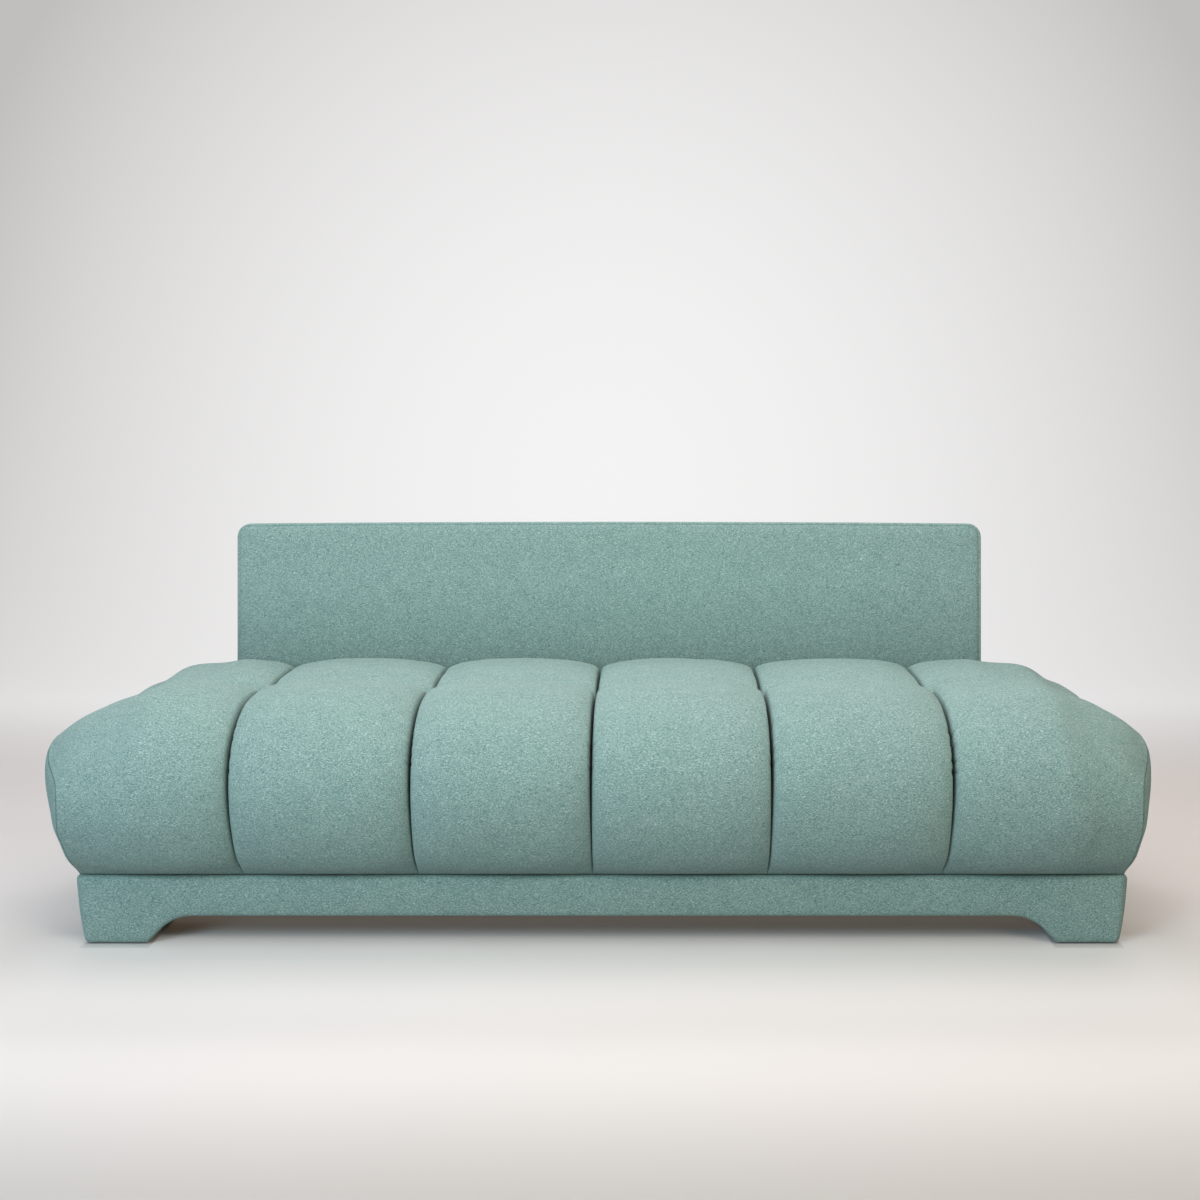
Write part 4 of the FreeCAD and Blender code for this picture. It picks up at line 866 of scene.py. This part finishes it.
# Shade is painted into the lowest part of the front panel, where the seat shades it: its felt darkens towards
# its foot.
shade_from, shade_height, deepest_shade, front_part = 0.23, 0.20, 0.28, 0.05
store = back.data.attributes.new("cleft", "FLOAT", "POINT")
for item, vertex in zip(store.data, back.data.vertices):
    x, d, h = world_to_slab(*vertex.co)
    item.value = deepest_shade * min(max((shade_from - h) / shade_height, 0), 1) * (d < front_part)

# Foam and wadding inside it stay clear of the drawn-in seams: their outer skin lies a little further in.
outer_skin, edge_clear, face_clear = 0.0145, 0.004, 0.003
for name, node in (("back_foam_sheet", "back_foam"), ("back_wadding_sheet", "back_wadding")):
    filling = softened(name, node, 0.003, 3, foam, "back")
    for vertex in filling.data.vertices:
        x, d, h = world_to_slab(*vertex.co)
        x -= math.copysign(edge_clear, x) * (slab_half - abs(x) < outer_skin)
        d += face_clear * (d < outer_skin) - face_clear * (slab_depth - d < outer_skin)
        h += edge_clear * (h < outer_skin) - edge_clear * (slab_height - h < outer_skin)
        vertex.co = slab_to_world(x, d, h)

# Hardboard behind the back's frame: smooth brown board with fine specks of fibre.
hardboard = patterned("hardboard", {"Roughness": 0.55}, "ShaderNodeTexNoise", {},
                      {"Scale": 400.0, "Detail": 4.0}, (0.35, 0.65), ("#5b4029", "#7d5a3c"))
dress(["back_panel"], hardboard)


# Leg frame behind the back
# A bent square steel tube with two legs and a bar, powder coated in satin black. It hangs from two pins in
# pressed brackets, which are screwed through the felt into the back's posts.
powder = patterned("black_powder_coat", {"Roughness": 0.42}, "ShaderNodeTexNoise", {},
                   {"Scale": 700.0, "Detail": 2.0}, (0.3, 0.7), ("#17181a", "#222326"), (0.2, 0.0002))
dress(["leg_brackets", "leg_frame"], powder)


# Studio
# A pale paper floor that curves up into a pale wall. Large soft lamps hang above and behind, two stand in
# front, the left one stronger and cool and the right one warm, and weak ones fill in low and at the sides.


def seen_by_eye(tree):
    """A socket that is 1 for rays that show a surface, in a mirror or through glass too, and 0 for others."""
    ray = tree.nodes.new("ShaderNodeLightPath")
    seen = ray.outputs["Is Camera Ray"]
    for name in ("Is Glossy Ray", "Is Transmission Ray"):
        seen = add_node(tree, "ShaderNodeMath", {"operation": "MAXIMUM"},
                        links={0: seen, 1: ray.outputs[name]}).outputs["Value"]
    return seen


paper, tree, shader, place = new_material("pale_paper", {"Roughness": 1.0, "Specular IOR Level": 0.0})
axes = add_node(tree, "ShaderNodeSeparateXYZ", links={"Vector": place})
# Painted shade: the paper that the eye sees is darker far in front of the sofa.
near = add_node(tree, "ShaderNodeMapRange", {"interpolation_type": "SMOOTHSTEP"},
                {"From Min": -1.55, "From Max": -0.85}, {"Value": axes.outputs["Y"]})
seen = seen_by_eye(tree)
# Bounced light meets a greyer paper than the eye does, so that the seat stays darker below.
colour = add_node(tree, "ShaderNodeMix", {"data_type": "RGBA"}, {6: linear("#a3a1a0")},
                  {7: two_tone(tree, near.outputs["Result"], 0.0, 1.0, "#c6c2be", "#f1edea"),
                   "Factor": seen})
tree.links.new(colour.outputs[2], shader.inputs["Base Color"])
# Close to the plinth, light is painted onto the paper that the eye sees: a little more before it, and a brown
# painted shade under it. The rows go from front to back: the share of the strip's depth, and the light that
# is added there.
glow_front, glow_rear = -1.0, 0.35
glow_rows = ((0.148, "#000000"), (0.296, "#525252"), (0.37, "#595959"), (0.444, "#656565"),
             (0.511, "#636363"), (0.541, "#575757"), (0.556, "#272727"), (0.564, "#000000"),
             (0.589, "#2f210d"), (0.63, "#4b433a"), (0.667, "#524b42"), (0.889, "#524b42"),
             (0.963, "#000000"))
strip = add_node(tree, "ShaderNodeMapRange", values={"From Min": glow_front, "From Max": glow_rear},
                 links={"Value": axes.outputs["Y"]})
ramp = tree.nodes.new("ShaderNodeValToRGB")
for element in ramp.color_ramp.elements:
    element.color = linear("#000000")
for share, colour in glow_rows:
    ramp.color_ramp.elements.new(share).color = linear(colour)
tree.links.new(strip.outputs["Result"], ramp.inputs["Fac"])
off = add_node(tree, "ShaderNodeMath", {"operation": "ABSOLUTE"}, links={0: axes.outputs["X"]})
middle = add_node(tree, "ShaderNodeMapRange", {"interpolation_type": "SMOOTHSTEP"},
                  {"From Min": 1.16, "From Max": 0.94}, {"Value": off.outputs["Value"]})
part = add_node(tree, "ShaderNodeMath", {"operation": "MULTIPLY"},
                links={0: seen, 1: middle.outputs["Result"]})
# None of it is added under the feet, which keep their contact shade.
across_foot = add_node(tree, "ShaderNodeMath", {"operation": "COMPARE"}, {1: 0.93, 2: 0.066},
                       {0: off.outputs["Value"]})
behind_front = add_node(tree, "ShaderNodeMapRange", {"interpolation_type": "SMOOTHSTEP"},
                        {"From Min": -0.342, "From Max": -0.328}, {"Value": axes.outputs["Y"]})
foot = add_node(tree, "ShaderNodeMath", {"operation": "MULTIPLY"},
                links={0: across_foot.outputs["Value"], 1: behind_front.outputs["Result"]})
part = add_node(tree, "ShaderNodeMath", {"operation": "SUBTRACT", "use_clamp": True},
                links={0: part.outputs["Value"], 1: foot.outputs["Value"]})
strip = add_node(tree, "ShaderNodeEmission",
                 links={"Color": ramp.outputs["Color"], "Strength": part.outputs["Value"]})
lit_paper = add_node(tree, "ShaderNodeAddShader",
                     links={0: shader.outputs["BSDF"], 1: strip.outputs["Emission"]})
# What the eye sees of the wall, itself or in a reflection, is painted light: brightest behind the sofa,
# dimmer at the sides.
spread = add_node(tree, "ShaderNodeMapping",
                  values={"Location": (0.036, 0, -0.189), "Scale": (0.296, 0, 0.27)}, links={"Vector": place})
radius = add_node(tree, "ShaderNodeVectorMath", {"operation": "DOT_PRODUCT"},
                  links={0: spread.outputs["Vector"], 1: spread.outputs["Vector"]})
glow = add_node(tree, "ShaderNodeEmission", values={"Strength": 1.0},
                links={"Color": two_tone(tree, radius.outputs["Value"], 0.0, 1.0, "#f4f3f3", "#c1bfbe")})
# That light takes over from the paper's own far behind the sofa, far in front of it and far to its sides.
far = [add_node(tree, "ShaderNodeMapRange", {"interpolation_type": "SMOOTHSTEP"},
                {"From Min": start, "From Max": end}, {"Value": socket})
       for start, end, socket in ((0.9, 2.7, axes.outputs["Y"]), (-1.7, -3.4, axes.outputs["Y"]),
                                  (2.3, 4.2, off.outputs["Value"]))]
farthest = add_node(tree, "ShaderNodeMath", {"operation": "MAXIMUM"},
                    links={0: far[0].outputs["Result"], 1: far[1].outputs["Result"]})
farthest = add_node(tree, "ShaderNodeMath", {"operation": "MAXIMUM"},
                    links={0: farthest.outputs["Value"], 1: far[2].outputs["Result"]})
part = add_node(tree, "ShaderNodeMath", {"operation": "MULTIPLY"},
                links={0: seen, 1: farthest.outputs["Value"]})
both = add_node(tree, "ShaderNodeMixShader",
                links={"Fac": part.outputs["Value"], 1: lit_paper.outputs["Shader"],
                       2: glow.outputs["Emission"]})
tree.links.new(both.outputs["Shader"], tree.nodes["Material Output"].inputs["Surface"])
sweep_front, sweep_rear, sweep_radius, sweep_top, sweep_half = -9.0, 3.0, 2.0, 9.0, 14.0
line = [(sweep_front, 0), (sweep_rear, 0)]
line += [(sweep_rear + sweep_radius * math.sin(a), sweep_radius * (1 - math.cos(a)))
         for a in np.linspace(0.1, math.pi / 2, 14)]
line.append((sweep_rear + sweep_radius, sweep_top))
vertices = [(side, py, pz) for py, pz in line for side in (-sweep_half, sweep_half)]
mesh = bpy.data.meshes.new("sweep")
mesh.from_pydata(vertices, [], grid_faces(0, len(line), 2))
mesh.polygons.foreach_set("use_smooth", [True] * len(mesh.polygons))
mesh.materials.append(paper)
backdrop = add_object("sweep", mesh)

studio = bpy.data.worlds.new("studio")
scene.world = studio
studio.use_nodes = True
tree = studio.node_tree
light = tree.nodes["Background"]
light.inputs["Color"].default_value = linear("#ffffff")
light.inputs["Strength"].default_value = 0.02
view = add_node(tree, "ShaderNodeBackground", values={"Color": linear("#e4e3e2"), "Strength": 1.0})
both = add_node(tree, "ShaderNodeMixShader", links={"Fac": seen_by_eye(tree), 1: light.outputs["Background"],
                                                    2: view.outputs["Background"]})
tree.links.new(both.outputs["Shader"], tree.nodes["World Output"].inputs["Surface"])

for name, at, width, depth, power_w, colour, target in (
        ("above", (0.0, 0.1, 3.2), 4.4, 2.4, 55.5, "#fff8f8", (0.0, 0.1, 0.0)),
        ("above_front", (0.0, -1.7, 2.4), 3.0, 1.0, 19.0, "#fffbfa", (0.0, -0.2, 0.4)),
        ("front_left", (-2.3, -3.9, 1.8), 1.8, 1.6, 88.0, "#dcf2ff", (0.0, 0.0, 0.35)),
        ("front_right", (2.3, -3.8, 2.5), 1.8, 1.6, 46.0, "#fff0d2", (0.0, 0.0, 0.35)),
        ("front_low", (0.0, -4.0, 0.7), 3.0, 0.8, 15.0, "#fdffff", (0.0, 0.0, 0.3)),
        ("behind", (0.0, 2.2, 3.0), 3.6, 1.2, 44.5, "#fffbfa", (0.0, 0.0, 0.3)),
        ("left", (-3.4, -1.8, 1.7), 1.8, 1.8, 6.0, "#b8d2ff", (0.0, -0.2, 0.4)),
        ("right", (3.4, -1.8, 1.7), 1.8, 1.8, 2.0, "#ffdca8", (0.0, -0.2, 0.4))):
    lamp = bpy.data.lights.new(name, "AREA")
    lamp.shape, lamp.size, lamp.size_y, lamp.energy = "RECTANGLE", width, depth, power_w
    lamp.color = linear(colour)[:3]
    lit = add_object(name, lamp)
    lit.location = at
    lit.rotation_euler = (Vector(target) - Vector(at)).to_track_quat("-Z", "Y").to_euler()
